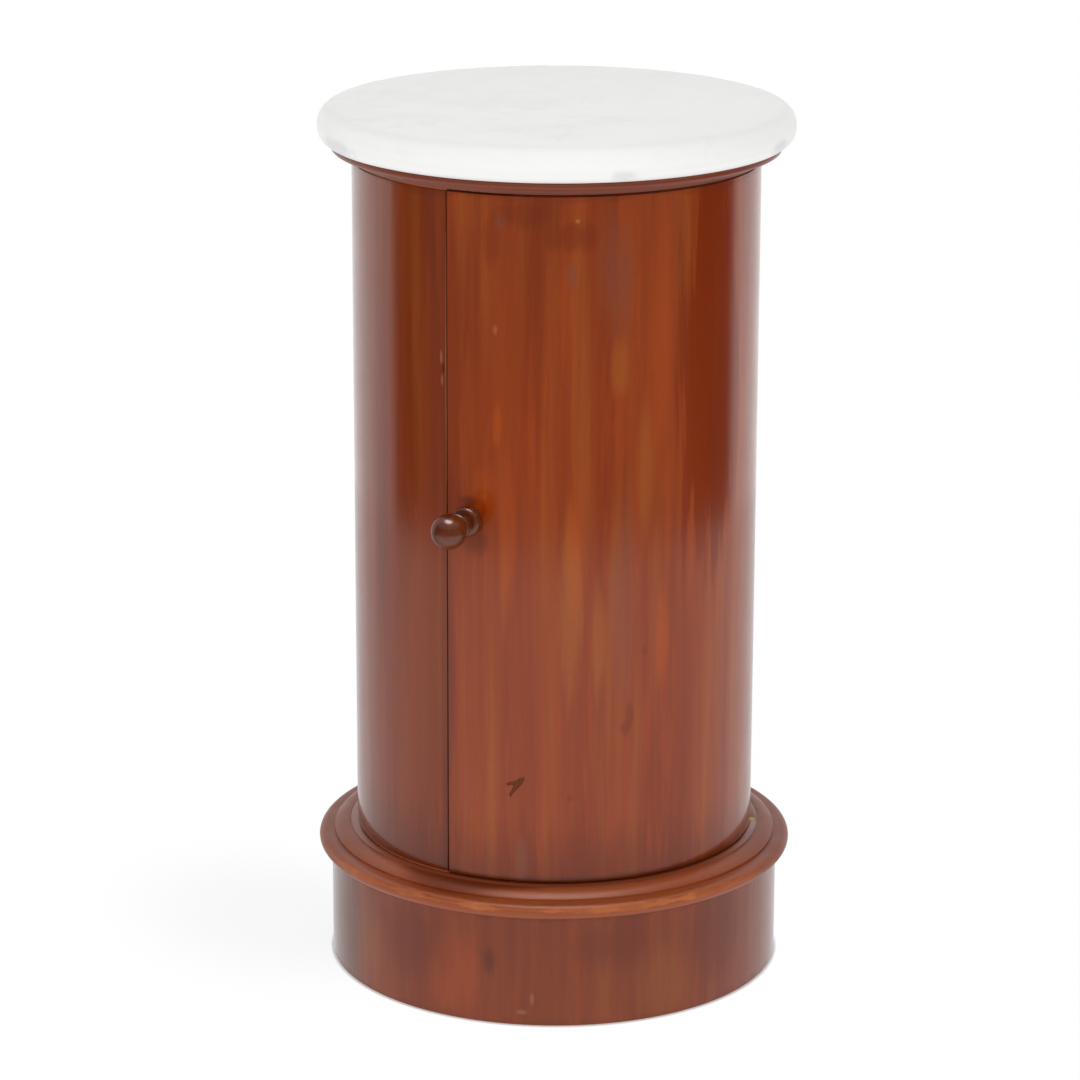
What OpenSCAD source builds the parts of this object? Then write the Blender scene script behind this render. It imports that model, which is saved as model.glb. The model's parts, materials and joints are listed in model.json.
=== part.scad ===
// Round bedside pot cupboard. A coopered case stands on a moulded plinth, under a loose marble top.
// Millimetres. +Z is up, the floor is z = 0, and the middle of the door faces -Y.
// An azimuth is an angle round the case, counted from the middle of the door to the right.

/* [Case] */
// Diameter of the round case over its veneer
case_diameter = 340; // [330:1:350]
// Height of the staved case between its two boards
case_height = 581; // [540:1:620]
// Depth of the wall, measured at the mitres between the staves
wall = 20; // [19:0.5:22]
// Thickness of the veneer on the case, the door and the plinth
veneer = 1.2; // [0.8:0.1:1.6]
// Thickness of the glue under the veneer
glue_line = 0.1; // [0.05:0.05:0.15]

/* [Plinth and base moulding] */
// Height of the plinth
plinth_height = 97.5; // [80:0.5:115]
// How far the face of the plinth stands out beyond the face of the case
plinth_projection = 22.2; // [20.5:0.1:25]
// Depth of the plinth blocks, measured at their mitres
plinth_wall = 23; // [21:0.5:26]
// Height of the plinth veneer's lower edge above the floor
veneer_lift = 0.5; // [0.2:0.1:2]
// Thickness of the base board and of the moulding planted round it
base_thickness = 20; // [18:0.5:23]
// Flat of the base board left round the foot of the case
base_margin = 6; // [5:0.5:7]
// Flat at the inner edge of the moulding
moulding_flat = 1; // [0.5:0.1:2]
// Width of the moulding's ovolo
ovolo_width = 13; // [12:0.5:14]
// Radius of the moulding's ovolo
ovolo_radius = 18; // [17:0.5:22]
// Radius of the half-round nose
nose_radius = 6.3; // [5.5:0.1:6.6]
// Overhang of the nose beyond the face of the plinth
nose_overhang = 10.8; // [9.5:0.1:12]

/* [Top] */
// Thickness of the top board
top_board_thickness = 12.5; // [12:0.5:16]
// Overhang of the top board's nose beyond the face of the case
top_board_overhang = 17.5; // [15:0.5:20]
// Radius of the half-round nose of the top board
top_nose_radius = 3; // [2.5:0.1:4]
// Flat left at the foot of the top board, beyond the face of the case
top_board_margin = 1.5; // [1:0.5:3]
// Overhang of the marble top beyond the face of the case
marble_overhang = 28.2; // [24:0.1:32]
// Thickness of the marble top
marble_thickness = 30; // [28:0.5:34]
// Radius of the marble's upper edge
marble_upper_round = 15; // [8:0.5:15.5]
// Radius of the marble's lower edge
marble_lower_round = 12; // [6:0.5:12.5]

/* [Door] */
// Angle of the case that the door takes up
door_angle = 120; // [116:1:124]
// Gap above and below the door
door_end_gap = 2; // [1.6:0.1:2.6]
// Gap down the door's free edge
latch_gap = 1; // [0.7:0.1:1.5]
// Gap down the door's hinged edge
hinge_gap = 0.65; // [0.5:0.05:0.9]

/* [Pivot hinges] */
// Depth of the pivot behind the door's face, and radius of the door's hinged corner
pivot_depth = 6; // [5.5:0.1:6.5]
// Radius of the pivot pins
pin_radius = 2.5; // [2:0.1:2.8]
// Running clearance of a pin or a spindle in its hole, on the radius
running_fit = 0.08; // [0.05:0.01:0.1]
// Clearance of a pivot pin in the wood above its plate, on the radius
pin_wood_gap = 0.6; // [0.4:0.1:1]
// How far a pivot pin stands into the door
pin_rise = 14; // [10:1:18]
// Thickness of the brass pivot plates
pivot_plate_thickness = 2.5; // [2:0.1:3]
// Width of the fixed pivot plates
fixed_plate_width = 12; // [10:0.5:13]
// Reach of the fixed pivot plates behind the pin, to the last screw
fixed_plate_reach = 20.5; // [19:0.5:24]
// Base board left beyond the end of the foot plate
foot_plate_margin = 0.5; // [0.3:0.1:2]
// Width of the plates let into the door's ends
door_plate_width = 9; // [8:0.5:10]
// Reach of those plates along the door, to the centre of their far end
door_plate_reach = 30; // [26:1:34]
// Play between the washer and the door's foot plate
washer_play = 0.1; // [0.05:0.05:0.2]
// Rim of the washer round its pin
washer_rim = 3; // [2:0.1:3.4]

/* [Knob and catch] */
// Angle between the knob and the door's free edge
knob_inset = 7.1; // [6.8:0.1:7.6]
// Height of the knob above the foot of the door
knob_rise = 307.5; // [300:0.5:330]
// Radius of the knob's ball
ball_radius = 14.5; // [13:0.5:16]
// Distance of the ball's centre from the door's face
ball_reach = 38.5; // [36:0.5:40]
// Radius of the collar at the knob's foot
collar_radius = 12.6; // [11:0.1:14]
// Radius of the collar's rounding
collar_round = 4; // [3.5:0.1:4.5]
// Radius of the knob's neck
neck_radius = 5.6; // [5:0.1:6.5]
// Radius of the bead behind the ball
bead_radius = 12; // [10:0.1:13]
// Radius of that bead's rounding
bead_round = 2.5; // [1.5:0.1:3]
// Play between the knob's foot and the door's face
knob_play = 0.5; // [0.4:0.1:0.8]
// Radius of the iron spindle
spindle_radius = 3; // [2.8:0.1:3.2]
// Width of the square on the spindle that drives the tongue
spindle_square = 3.9; // [3.8:0.05:3.95]
// Radius of the spindle's threaded tail
tail_radius = 1.8; // [1.6:0.1:1.9]
// How far the spindle runs up inside the knob
spindle_seat = 26; // [20:1:30]
// Width of the catch's tongue
tongue_width = 12; // [10:0.5:14]
// Thickness of the catch's tongue
tongue_thickness = 2.5; // [2:0.1:3]
// Reach of the tongue from the spindle's axis to its tip
tongue_reach = 38; // [36:0.5:40]
// Clearance between the tongue and the keeper
catch_gap = 0.4; // [0.3:0.1:0.6]
// Thickness of the keeper plate
keeper_thickness = 1.2; // [1:0.1:2]
// Thickness of the plate that carries the spindle inside the door
latch_plate_thickness = 1.6; // [1.4:0.1:1.8]
// Width of that plate
latch_plate_width = 14; // [12:0.5:15]
// Height of that plate and of the keeper plate
catch_plate_height = 40; // [36:1:48]
// Thickness of the nut on the spindle
nut_thickness = 4.5; // [4:0.1:5]
// Radius of the nut over its corners
nut_radius = 4.6; // [4.2:0.1:5]
// Length of the spindle's tail beyond its nut
tail_end = 1; // [0.5:0.1:2]
// Rim of the tube that keeps the tongue at its distance
spacer_rim = 2; // [1.5:0.1:2.5]

/* [Closing lath] */
// Depth of the closing lath at the mitre it covers
lath_depth = 10.2; // [9.6:0.1:11]
// How far the lath laps behind the door
lath_lap = 9.5; // [8.5:0.1:10.5]
// How far the lath is glued along the case
lath_seat = 23.5; // [21:0.5:25]
// Gap between the lath and the back of the closed door
lath_gap = 0.5; // [0.4:0.1:0.8]

/* [Inside] */
// Height of the shelf's underside above the base board
shelf_rise = 250; // [220:1:262]
// Thickness of the shelf
shelf_thickness = 12; // [10:0.5:16]
// Gap round the shelf, and round its notch for the closing lath
shelf_gap = 0.8; // [0.6:0.1:1.4]
// Length of a shelf bearer
bearer_length = 44; // [36:1:46]
// Depth of a shelf bearer
bearer_depth = 10; // [8:0.5:12]
// Height of a shelf bearer
bearer_height = 12; // [10:0.5:16]
// Length of a glue block under the top board
top_block_length = 42; // [34:1:46]
// Leg of the triangular glue blocks under the top board
top_block_leg = 18; // [14:0.5:22]
// Length of a glue block under the base board
plinth_block_length = 80; // [60:1:100]
// Leg of the triangular glue blocks under the base board
plinth_block_leg = 26; // [20:0.5:30]

/* [Screws] */
// Radius of a screw's head
screw_head = 3; // [2.6:0.1:3.2]
// Radius of a screw's shank
screw_shank = 1.5; // [1.2:0.1:1.7]
// Length of the screws that hold the pivot plates
hinge_screw = 10; // [9:0.5:10.5]
// Length of the screws that hold the keeper and the latch plate
catch_screw = 8; // [6:0.5:8.5]
// Distance of the pivot plates' nearer screws from the pin
screw_pitch = 10.5; // [10:0.5:11]

/* [Hidden] */

// Fineness of the large rounds and of the small ones
$fn = 144;
small = 32;
// Cut: longer than any piece that a cut goes through
cut = 60;
// Stave counts, and the blocks and segments of the base
carcass_staves = 12;
door_staves = 6;
plinth_blocks = 8;
moulding_segments = 6;

// Colours as they look on the cupboard
mahogany = [0.52, 0.25, 0.15];
dark_mahogany = [0.38, 0.16, 0.10];
red_mahogany = [0.47, 0.20, 0.11];
pine = [0.72, 0.56, 0.38];
marble = [0.92, 0.92, 0.91];
brass = [0.71, 0.56, 0.29];
iron = [0.32, 0.30, 0.29];

// Radii of the case
case_r = case_diameter / 2;
core_r = case_r - veneer - glue_line;
inner_r = case_r - wall;
// Angles of the door and of the staves
door_half = door_angle / 2;
door_step = door_angle / door_staves;
carcass_step = (360 - door_angle) / carcass_staves;
// Distances of the staves' flat inner faces from the axis
carcass_flat = inner_r * cos(carcass_step / 2);
door_flat = inner_r * cos(door_step / 2);
// Levels
base_top = plinth_height + base_thickness;
case_top = base_top + case_height;
marble_foot = case_top + top_board_thickness;
door_foot = base_top + door_end_gap;
door_height = case_height - 2 * door_end_gap;
door_head = door_foot + door_height;
// Plinth and moulding
plinth_r = case_r + plinth_projection;
plinth_core_r = plinth_r - veneer - glue_line;
plinth_inner_r = plinth_core_r - plinth_wall;
plinth_step = 360 / plinth_blocks;
plinth_flat = plinth_inner_r * cos(plinth_step / 2);
base_r = case_r + base_margin;
nose_r = plinth_r + nose_overhang;
// Top
top_board_r = case_r + top_board_overhang;
marble_r = case_r + marble_overhang;
// Pivot: the door's rounded corner turns inside its own hinge gap
corner_relief = 0.05;
corner_start = 0.8;
// Room left beyond the end of a pivot pin in its hole
pin_end_room = 2;
pivot_r = case_r - pivot_depth;
pivot_azimuth = door_half - asin((pivot_depth + hinge_gap - corner_relief) / pivot_r);
mid_wall_r = case_r - wall / 2;
door_plate_turn = asin((pow(pivot_r, 2) + pow(door_plate_reach, 2) - pow(mid_wall_r, 2))
                       / (2 * pivot_r * door_plate_reach));
foot_plate_end = base_r - pivot_r - foot_plate_margin - fixed_plate_width / 2;
// Knob, spindle and catch, from the face of the door inwards along the knob's axis
knob_azimuth = knob_inset - door_half;
knob_height = door_foot + knob_rise;
knob_stave_turn = knob_azimuth + door_half - door_step / 2;
latch_recess = door_flat / cos(knob_stave_turn)
               + latch_plate_width / 2 * tan(abs(knob_stave_turn)) + glue_line;
latch_plate_back = latch_recess - latch_plate_thickness;
jamb_offset = inner_r * sin(knob_inset);
lath_face = inner_r * cos(knob_inset) - lath_depth;
keeper_face = lath_face - keeper_thickness;
tongue_front = keeper_face - catch_gap;
tongue_back = tongue_front - tongue_thickness;
nut_back = tongue_back - nut_thickness;
spindle_end = case_r + knob_play + spindle_seat;
spindle_play = 0.3;
// Closing lath across the catch, counted from the knob's axis towards the free edge
lath_near = jamb_offset - lath_lap;
lath_far = jamb_offset + lath_seat;
keeper_margin = 3;
// Distance of the catch plates' screws above and below the knob's axis
screw_row = catch_plate_height / 2 - 2 * screw_head;
// Shelf
shelf_r = min(carcass_flat, door_flat) - shelf_gap;
shelf_foot = base_top + shelf_rise;

// Turns what is drawn at the front to an azimuth
module at(azimuth) {
    rotate([0, 0, azimuth]) children();
}

// Puts the origin at the pivot, with +X along the door's edge and -Y outwards
module at_pivot() {
    at(pivot_azimuth) translate([0, -pivot_r, 0]) children();
}

// Puts +Z along the knob's axis outwards from the axis of the case, with +Y up
module at_knob() {
    at(knob_azimuth) translate([0, 0, knob_height]) rotate([90, 0, 0]) children();
}

// Plan of a stave or block at the front: round outside, flat inside, mitred on both sides
module stave_plan(outer, inner, step) {
    slope = tan(step / 2);
    near = inner * cos(step / 2);
    far = 2 * outer;
    intersection() {
        circle(r = outer);
        polygon([[-near * slope, -near], [-far * slope, -far], [far * slope, -far], [near * slope, -near]]);
    }
}

// Plan of a skin round part of a circle, from one azimuth to another
module skin_plan(outer, thickness, from, to) {
    far = 2 * outer;
    middle = (from + to) / 2;
    half = (to - from) / 2;
    difference() {
        circle(r = outer);
        circle(r = outer - thickness);
        // takes away the rest of the circle, as one wedge or all but one
        if (half > 90) {
            rotate(middle + 180) wedge(180 - half, far);
        }
        if (half <= 90) {
            rotate(middle + half) translate([0, -far]) square([far, 2 * far]);
            rotate(middle - half) translate([-far, -far]) square([far, 2 * far]);
        }
    }
}

// Wedge at the front, with half angle half
module wedge(half, far) {
    polygon([[0, 0], [-far * tan(half), -far], [far * tan(half), -far]]);
}

// What is cut from the door's plan: both side gaps, and the hinged corner outside its round
module door_edge_cuts() {
    rotate(-door_half) translate([-cut, -case_r - cut]) square([cut + latch_gap, 2 * cut]);
    rotate(door_half) translate([-hinge_gap, -case_r - cut]) square([cut, 2 * cut]);
    rotate(pivot_azimuth) translate([0, -pivot_r]) difference() {
        translate([corner_start, -cut]) square([cut, cut]);
        circle(r = pivot_depth, $fn = 2 * small);
    }
}

// Half profile of a disc with two rounded arrises
module disc_profile(radius, thickness, upper, lower) {
    translate([0, lower]) square([radius - upper, thickness - lower]);
    square([radius - lower, thickness - upper]);
    translate([0, lower]) square([radius, thickness - upper - lower]);
    translate([radius - upper, thickness - upper]) circle(r = upper, $fn = 2 * small);
    translate([radius - lower, lower]) circle(r = lower, $fn = 2 * small);
}

// Half profile of the top board: a cove from its foot out to a half-round nose
module top_board_profile() {
    foot = case_r + top_board_margin;
    cove = top_board_thickness - 2 * top_nose_radius;
    nose_centre = top_board_r - top_nose_radius;
    difference() {
        square([foot + cove, cove]);
        translate([foot + cove, 0]) circle(r = cove, $fn = 2 * small);
    }
    translate([0, cove]) square([nose_centre, 2 * top_nose_radius]);
    translate([nose_centre, cove + top_nose_radius]) circle(r = top_nose_radius, $fn = small);
}

// Outline of a plate with round ends; left and right are the centres of its ends
module bar_outline(left, right, width) {
    translate([-left, -width / 2]) square([left + right, width]);
    translate([-left, 0]) circle(d = width, $fn = small);
    translate([right, 0]) circle(d = width, $fn = small);
}

// Countersunk screw, head up at the origin; the same shape cuts its hole
module screw(length) {
    head_depth = screw_head - screw_shank;
    tip = 2 * screw_shank;
    rotate_extrude($fn = small)
        polygon([[0, 0], [screw_head, 0], [screw_shank, -head_depth],
                 [screw_shank, tip - length], [0, -length]]);
}

// Screws of a fixed pivot plate, heads up at the plate's face
module fixed_plate_screws() {
    translate([0, screw_pitch, 0]) screw(hinge_screw);
    translate([0, fixed_plate_reach, 0]) screw(hinge_screw);
}

// Screws of a plate in the door's end, heads up at the plate's face
module door_plate_screws() {
    rotate([0, 0, -door_plate_turn]) {
        translate([-screw_pitch, 0, 0]) screw(hinge_screw);
        translate([-door_plate_reach, 0, 0]) screw(hinge_screw);
    }
}

// Fixed pivot plate, its face at the origin and its body below
module fixed_plate_body(out) {
    translate([0, 0, -pivot_plate_thickness]) linear_extrude(pivot_plate_thickness)
        rotate(-90) bar_outline(fixed_plate_reach, out, fixed_plate_width);
}

// Plate in the door's end, its face at the origin and its body below
module door_plate_body() {
    translate([0, 0, -pivot_plate_thickness]) linear_extrude(pivot_plate_thickness)
        rotate(-door_plate_turn) bar_outline(door_plate_reach, 0, door_plate_width);
}

// Fixed pivot plate with its pin hole and screw holes
module fixed_plate(out) {
    difference() {
        fixed_plate_body(out);
        fixed_plate_screws();
        translate([0, 0, -cut / 2]) cylinder(r = pin_radius, h = cut, $fn = small);
    }
}

// Plate in the door's end with its running hole and screw holes
module door_plate() {
    difference() {
        door_plate_body();
        door_plate_screws();
        translate([0, 0, -cut / 2]) cylinder(r = pin_radius + running_fit, h = cut, $fn = small);
    }
}

// Pivot pin, riveted flush under its plate, with an eased tip
module pivot_pin() {
    ease = pin_radius / 3;
    shank = pivot_plate_thickness + door_end_gap + pin_rise - ease;
    translate([0, 0, -pivot_plate_thickness]) cylinder(r = pin_radius, h = shank, $fn = small);
    translate([0, 0, shank - pivot_plate_thickness])
        cylinder(r1 = pin_radius, r2 = pin_radius - ease, h = ease, $fn = small);
}

// Places of the pivot parts: face of the base board, underside of the top board, ends of the door
module at_foot_plate() {
    translate([0, 0, base_top]) at_pivot() children();
}

module at_head_plate() {
    translate([0, 0, case_top]) at_pivot() mirror([0, 0, 1]) children();
}

module at_door_foot() {
    translate([0, 0, door_foot]) at_pivot() mirror([0, 0, 1]) children();
}

module at_door_head() {
    translate([0, 0, door_head]) at_pivot() children();
}

// Screws of the keeper, heads towards the axis of the case
module keeper_screws() {
    for (side = [-1, 1])
        at_knob()
            translate([-(lath_near + lath_far) / 2, side * screw_row, keeper_face])
                mirror([0, 0, 1]) screw(catch_screw);
}

// Screws of the latch plate
module latch_plate_screws() {
    for (side = [-1, 1])
        at_knob()
            translate([0, side * screw_row, latch_plate_back]) mirror([0, 0, 1]) screw(catch_screw);
}

// Plan of the closing lath: flat towards the catch, fitted to the mitre behind
module lath_plan() {
    intersection() {
        rotate(knob_azimuth) translate([-lath_far, -inner_r]) square([lath_far - lath_near, inner_r - lath_face]);
        rotate(-door_half - carcass_step / 2) translate([-case_r, -carcass_flat]) square([2 * case_r, case_r]);
        rotate(-door_half + door_step / 2) translate([-case_r, lath_gap - door_flat])
            square([2 * case_r, case_r]);
    }
}

// Profile of the base moulding, on the plinth's top, from the base board's edge outwards
module moulding_profile() {
    ovolo_foot = base_r + moulding_flat;
    quirk = ovolo_foot + ovolo_width;
    translate([base_r, 0]) square([moulding_flat, base_thickness]);
    intersection() {
        translate([ovolo_foot, base_thickness - ovolo_radius]) circle(r = ovolo_radius, $fn = 4 * small);
        translate([ovolo_foot, 2 * nose_radius]) square([ovolo_width, base_thickness]);
    }
    translate([base_r, 0]) square([nose_r - nose_radius - base_r, 2 * nose_radius]);
    translate([nose_r - nose_radius, nose_radius]) circle(r = nose_radius, $fn = 2 * small);
}

// Half profile of the turned knob, from the door's face outwards
module knob_profile() {
    foot = knob_play + collar_round / 2;
    bead_foot = ball_reach - sqrt(pow(ball_radius, 2) - pow(bead_radius - bead_round, 2)) - 2 * bead_round;
    intersection() {
        translate([0, knob_play]) square(ball_reach + ball_radius);
        union() {
            square([collar_radius - collar_round, foot + 2 * collar_round]);
            translate([0, knob_play]) square([collar_radius - collar_round / 3, collar_round / 2]);
            translate([collar_radius - collar_round, foot + collar_round])
                circle(r = collar_round, $fn = 2 * small);
            square([neck_radius, ball_reach]);
            translate([0, bead_foot]) square([bead_radius - bead_round, 2 * bead_round]);
            translate([bead_radius - bead_round, bead_foot + bead_round]) circle(r = bead_round, $fn = small);
            translate([0, ball_reach]) circle(r = ball_radius, $fn = 3 * small);
        }
    }
}

// One stave of the case; the numbers run from the hinged side round the back
module carcass_stave(number) {
    color(pine)
        at(door_half + (number - 0.5) * carcass_step)
            translate([0, 0, base_top]) linear_extrude(case_height)
                stave_plan(core_r, inner_r, carcass_step);
}

// One stave of the door before its fittings are let in
module door_stave_blank(number) {
    translate([0, 0, door_foot]) linear_extrude(door_height) difference() {
        rotate((number - 0.5) * door_step - door_half) stave_plan(core_r, inner_r, door_step);
        door_edge_cuts();
    }
}

module door_stave(number) {
    color(pine) door_stave_blank(number);
}

// First stave, with the spindle's hole and the latch plate's bed
module door_stave_1() {
    color(pine) difference() {
        door_stave_blank(1);
        at_knob() cylinder(r = spindle_radius + running_fit, h = case_r + cut, $fn = small);
        at_knob() translate([-latch_plate_width / 2, -catch_plate_height / 2, inner_r - cut])
            cube([latch_plate_width, catch_plate_height, latch_recess - inner_r + cut]);
        latch_plate_screws();
    }
}

// Last stave, with the beds of both pivot plates and the holes for their pins
module door_stave_6() {
    color(pine) difference() {
        door_stave_blank(door_staves);
        at_door_foot() door_end_cuts();
        at_door_head() door_end_cuts();
    }
}

module door_end_cuts() {
    depth = pin_rise + pin_end_room;
    door_plate_body();
    door_plate_screws();
    translate([0, 0, -depth]) cylinder(r = pin_radius + pin_wood_gap, h = depth, $fn = small);
}

module door_veneer() {
    color(mahogany) difference() {
        translate([0, 0, door_foot]) linear_extrude(door_height) difference() {
            skin_plan(case_r, veneer, -door_half, door_half);
            door_edge_cuts();
        }
        at_knob() cylinder(r = spindle_radius + running_fit, h = case_r + cut, $fn = small);
    }
}

module carcass_veneer() {
    color(mahogany) translate([0, 0, door_foot]) linear_extrude(door_height)
        skin_plan(case_r, veneer, door_half, 360 - door_half);
}

module marble_top() {
    color(marble) translate([0, 0, marble_foot]) rotate_extrude()
        disc_profile(marble_r, marble_thickness, marble_upper_round, marble_lower_round);
}

module top_board() {
    color(dark_mahogany) difference() {
        translate([0, 0, case_top]) rotate_extrude()
            top_board_profile();
        at_head_plate() fixed_plate_body(0);
        at_head_plate() fixed_plate_screws();
    }
}

module base_board() {
    color(dark_mahogany) difference() {
        translate([0, 0, plinth_height]) cylinder(r = base_r, h = base_thickness);
        at_foot_plate() fixed_plate_body(foot_plate_end);
        at_foot_plate() fixed_plate_screws();
    }
}

// Glue blocks in the angle under the top board, one on every second stave
module top_glue_blocks() {
    color(pine) for (number = [2 : 2 : carcass_staves - 2])
        at(door_half + (number - 0.5) * carcass_step) rotate([90, 0, 90])
            linear_extrude(top_block_length, center = true)
                polygon([[-carcass_flat, case_top], [-carcass_flat, case_top - top_block_leg],
                         [top_block_leg - carcass_flat, case_top]]);
}

// Glue blocks in the angle under the base board, one on every plinth block
module plinth_glue_blocks() {
    color(pine) for (number = [1 : plinth_blocks])
        at((number - 0.5) * plinth_step) rotate([90, 0, 90])
            linear_extrude(plinth_block_length, center = true)
                polygon([[-plinth_flat, plinth_height], [-plinth_flat, plinth_height - plinth_block_leg],
                         [plinth_block_leg - plinth_flat, plinth_height]]);
}

module shelf() {
    color(pine) translate([0, 0, shelf_foot]) linear_extrude(shelf_thickness) difference() {
        circle(r = shelf_r);
        rotate(knob_azimuth) translate([-lath_far - shelf_gap, -case_r])
            square([lath_far - lath_near + 2 * shelf_gap, case_r - lath_face + shelf_gap]);
    }
}

// Bearers under the shelf, on every third stave
module shelf_bearers() {
    color(pine) for (number = [2 : 3 : carcass_staves])
        at(door_half + (number - 0.5) * carcass_step)
            translate([-bearer_length / 2, -carcass_flat, shelf_foot - bearer_height])
                cube([bearer_length, bearer_depth, bearer_height]);
}

module closing_lath() {
    color(red_mahogany) difference() {
        translate([0, 0, base_top]) linear_extrude(case_height) lath_plan();
        keeper_screws();
    }
}

module keeper_plate() {
    color(brass) difference() {
        at_knob() translate([keeper_margin - lath_far, -catch_plate_height / 2, keeper_face])
            cube([lath_far - lath_near - 2 * keeper_margin, catch_plate_height, keeper_thickness]);
        keeper_screws();
    }
}

module moulding_segment(number) {
    step = 360 / moulding_segments;
    color(red_mahogany) translate([0, 0, plinth_height])
        rotate([0, 0, door_half - 90 + (number - 1) * step]) rotate_extrude(angle = step) moulding_profile();
}

module plinth_block(number) {
    color(pine) at((number - 0.5) * plinth_step) linear_extrude(plinth_height)
        stave_plan(plinth_core_r, plinth_inner_r, plinth_step);
}

module plinth_veneer() {
    color(mahogany) translate([0, 0, veneer_lift]) linear_extrude(plinth_height - veneer_lift)
        difference() {
            circle(r = plinth_r);
            circle(r = plinth_r - veneer);
        }
}

module foot_pivot_plate() {
    color(brass) at_foot_plate() fixed_plate(foot_plate_end);
}

module head_pivot_plate() {
    color(brass) at_head_plate() fixed_plate(0);
}

module foot_pivot_pin() {
    color(iron) at_foot_plate() pivot_pin();
}

module head_pivot_pin() {
    color(iron) at_head_plate() pivot_pin();
}

// Washer on the foot pin, which carries the door
module pivot_washer() {
    color(brass) at_foot_plate() linear_extrude(door_end_gap - washer_play) difference() {
        circle(r = pin_radius + washer_rim, $fn = small);
        circle(r = pin_radius, $fn = small);
    }
}

module carcass_screws() {
    color(iron) {
        at_foot_plate() fixed_plate_screws();
        at_head_plate() fixed_plate_screws();
        keeper_screws();
    }
}

module door_foot_plate() {
    color(brass) at_door_foot() door_plate();
}

module door_head_plate() {
    color(brass) at_door_head() door_plate();
}

module latch_plate() {
    color(brass) difference() {
        at_knob() translate([-latch_plate_width / 2, -catch_plate_height / 2, latch_plate_back])
            cube([latch_plate_width, catch_plate_height, latch_plate_thickness]);
        at_knob() cylinder(r = spindle_radius + running_fit, h = case_r, $fn = small);
        latch_plate_screws();
    }
}

module door_screws() {
    color(iron) {
        at_door_foot() door_plate_screws();
        at_door_head() door_plate_screws();
        latch_plate_screws();
    }
}

module knob() {
    color(dark_mahogany) at_knob() translate([0, 0, case_r]) difference() {
        rotate_extrude($fn = 2 * small) knob_profile();
        translate([0, 0, knob_play - cut]) cylinder(r = spindle_radius, h = spindle_seat + cut, $fn = small);
    }
}

// Iron spindle: round through the door, square through the tongue, and a tail for the nut
module knob_spindle() {
    tail_start = nut_back - tail_end;
    color(iron) at_knob() {
        translate([0, 0, tongue_front])
            cylinder(r = spindle_radius, h = spindle_end - tongue_front, $fn = small);
        translate([-spindle_square / 2, -spindle_square / 2, tongue_back])
            cube([spindle_square, spindle_square, tongue_thickness]);
        translate([0, 0, tail_start]) cylinder(r = tail_radius, h = tongue_back - tail_start, $fn = small);
    }
}

// Tube on the spindle between the tongue and the latch plate
module spindle_spacer() {
    color(brass) at_knob() translate([0, 0, tongue_front])
        linear_extrude(latch_plate_back - spindle_play - tongue_front) difference() {
            circle(r = spindle_radius + spacer_rim, $fn = small);
            circle(r = spindle_radius, $fn = small);
        }
}

// Tongue of the catch, standing up, as it is when the door is free
module catch_tongue() {
    color(brass) at_knob() translate([0, 0, tongue_back]) linear_extrude(tongue_thickness)
        difference() {
            rotate(90) bar_outline(0, tongue_reach - tongue_width / 2, tongue_width);
            square(spindle_square, center = true);
        }
}

module spindle_nut() {
    color(iron) at_knob() translate([0, 0, nut_back]) linear_extrude(nut_thickness) difference() {
        circle(r = nut_radius, $fn = 6);
        circle(r = tail_radius, $fn = small);
    }
}

marble_top();
top_board();
top_glue_blocks();
carcass_stave(1);  // stave_01
carcass_stave(2);  // stave_02
carcass_stave(3);  // stave_03
carcass_stave(4);  // stave_04
carcass_stave(5);  // stave_05
carcass_stave(6);  // stave_06
carcass_stave(7);  // stave_07
carcass_stave(8);  // stave_08
carcass_stave(9);  // stave_09
carcass_stave(10);  // stave_10
carcass_stave(11);  // stave_11
carcass_stave(12);  // stave_12
carcass_veneer();
shelf();
shelf_bearers();
closing_lath();
keeper_plate();
base_board();
moulding_segment(1);  // moulding_segment_1
moulding_segment(2);  // moulding_segment_2
moulding_segment(3);  // moulding_segment_3
moulding_segment(4);  // moulding_segment_4
moulding_segment(5);  // moulding_segment_5
moulding_segment(6);  // moulding_segment_6
plinth_block(1);  // plinth_block_1
plinth_block(2);  // plinth_block_2
plinth_block(3);  // plinth_block_3
plinth_block(4);  // plinth_block_4
plinth_block(5);  // plinth_block_5
plinth_block(6);  // plinth_block_6
plinth_block(7);  // plinth_block_7
plinth_block(8);  // plinth_block_8
plinth_veneer();
plinth_glue_blocks();
foot_pivot_plate();
head_pivot_plate();
foot_pivot_pin();
head_pivot_pin();
pivot_washer();
carcass_screws();
door_stave_1();
door_stave(2);  // door_stave_2
door_stave(3);  // door_stave_3
door_stave(4);  // door_stave_4
door_stave(5);  // door_stave_5
door_stave_6();
door_veneer();
door_foot_plate();
door_head_plate();
latch_plate();
door_screws();
knob();
knob_spindle();
spindle_spacer();
catch_tongue();
spindle_nut();
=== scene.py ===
import json
import math

import bmesh
import bpy
from mathutils import Matrix, Vector

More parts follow.
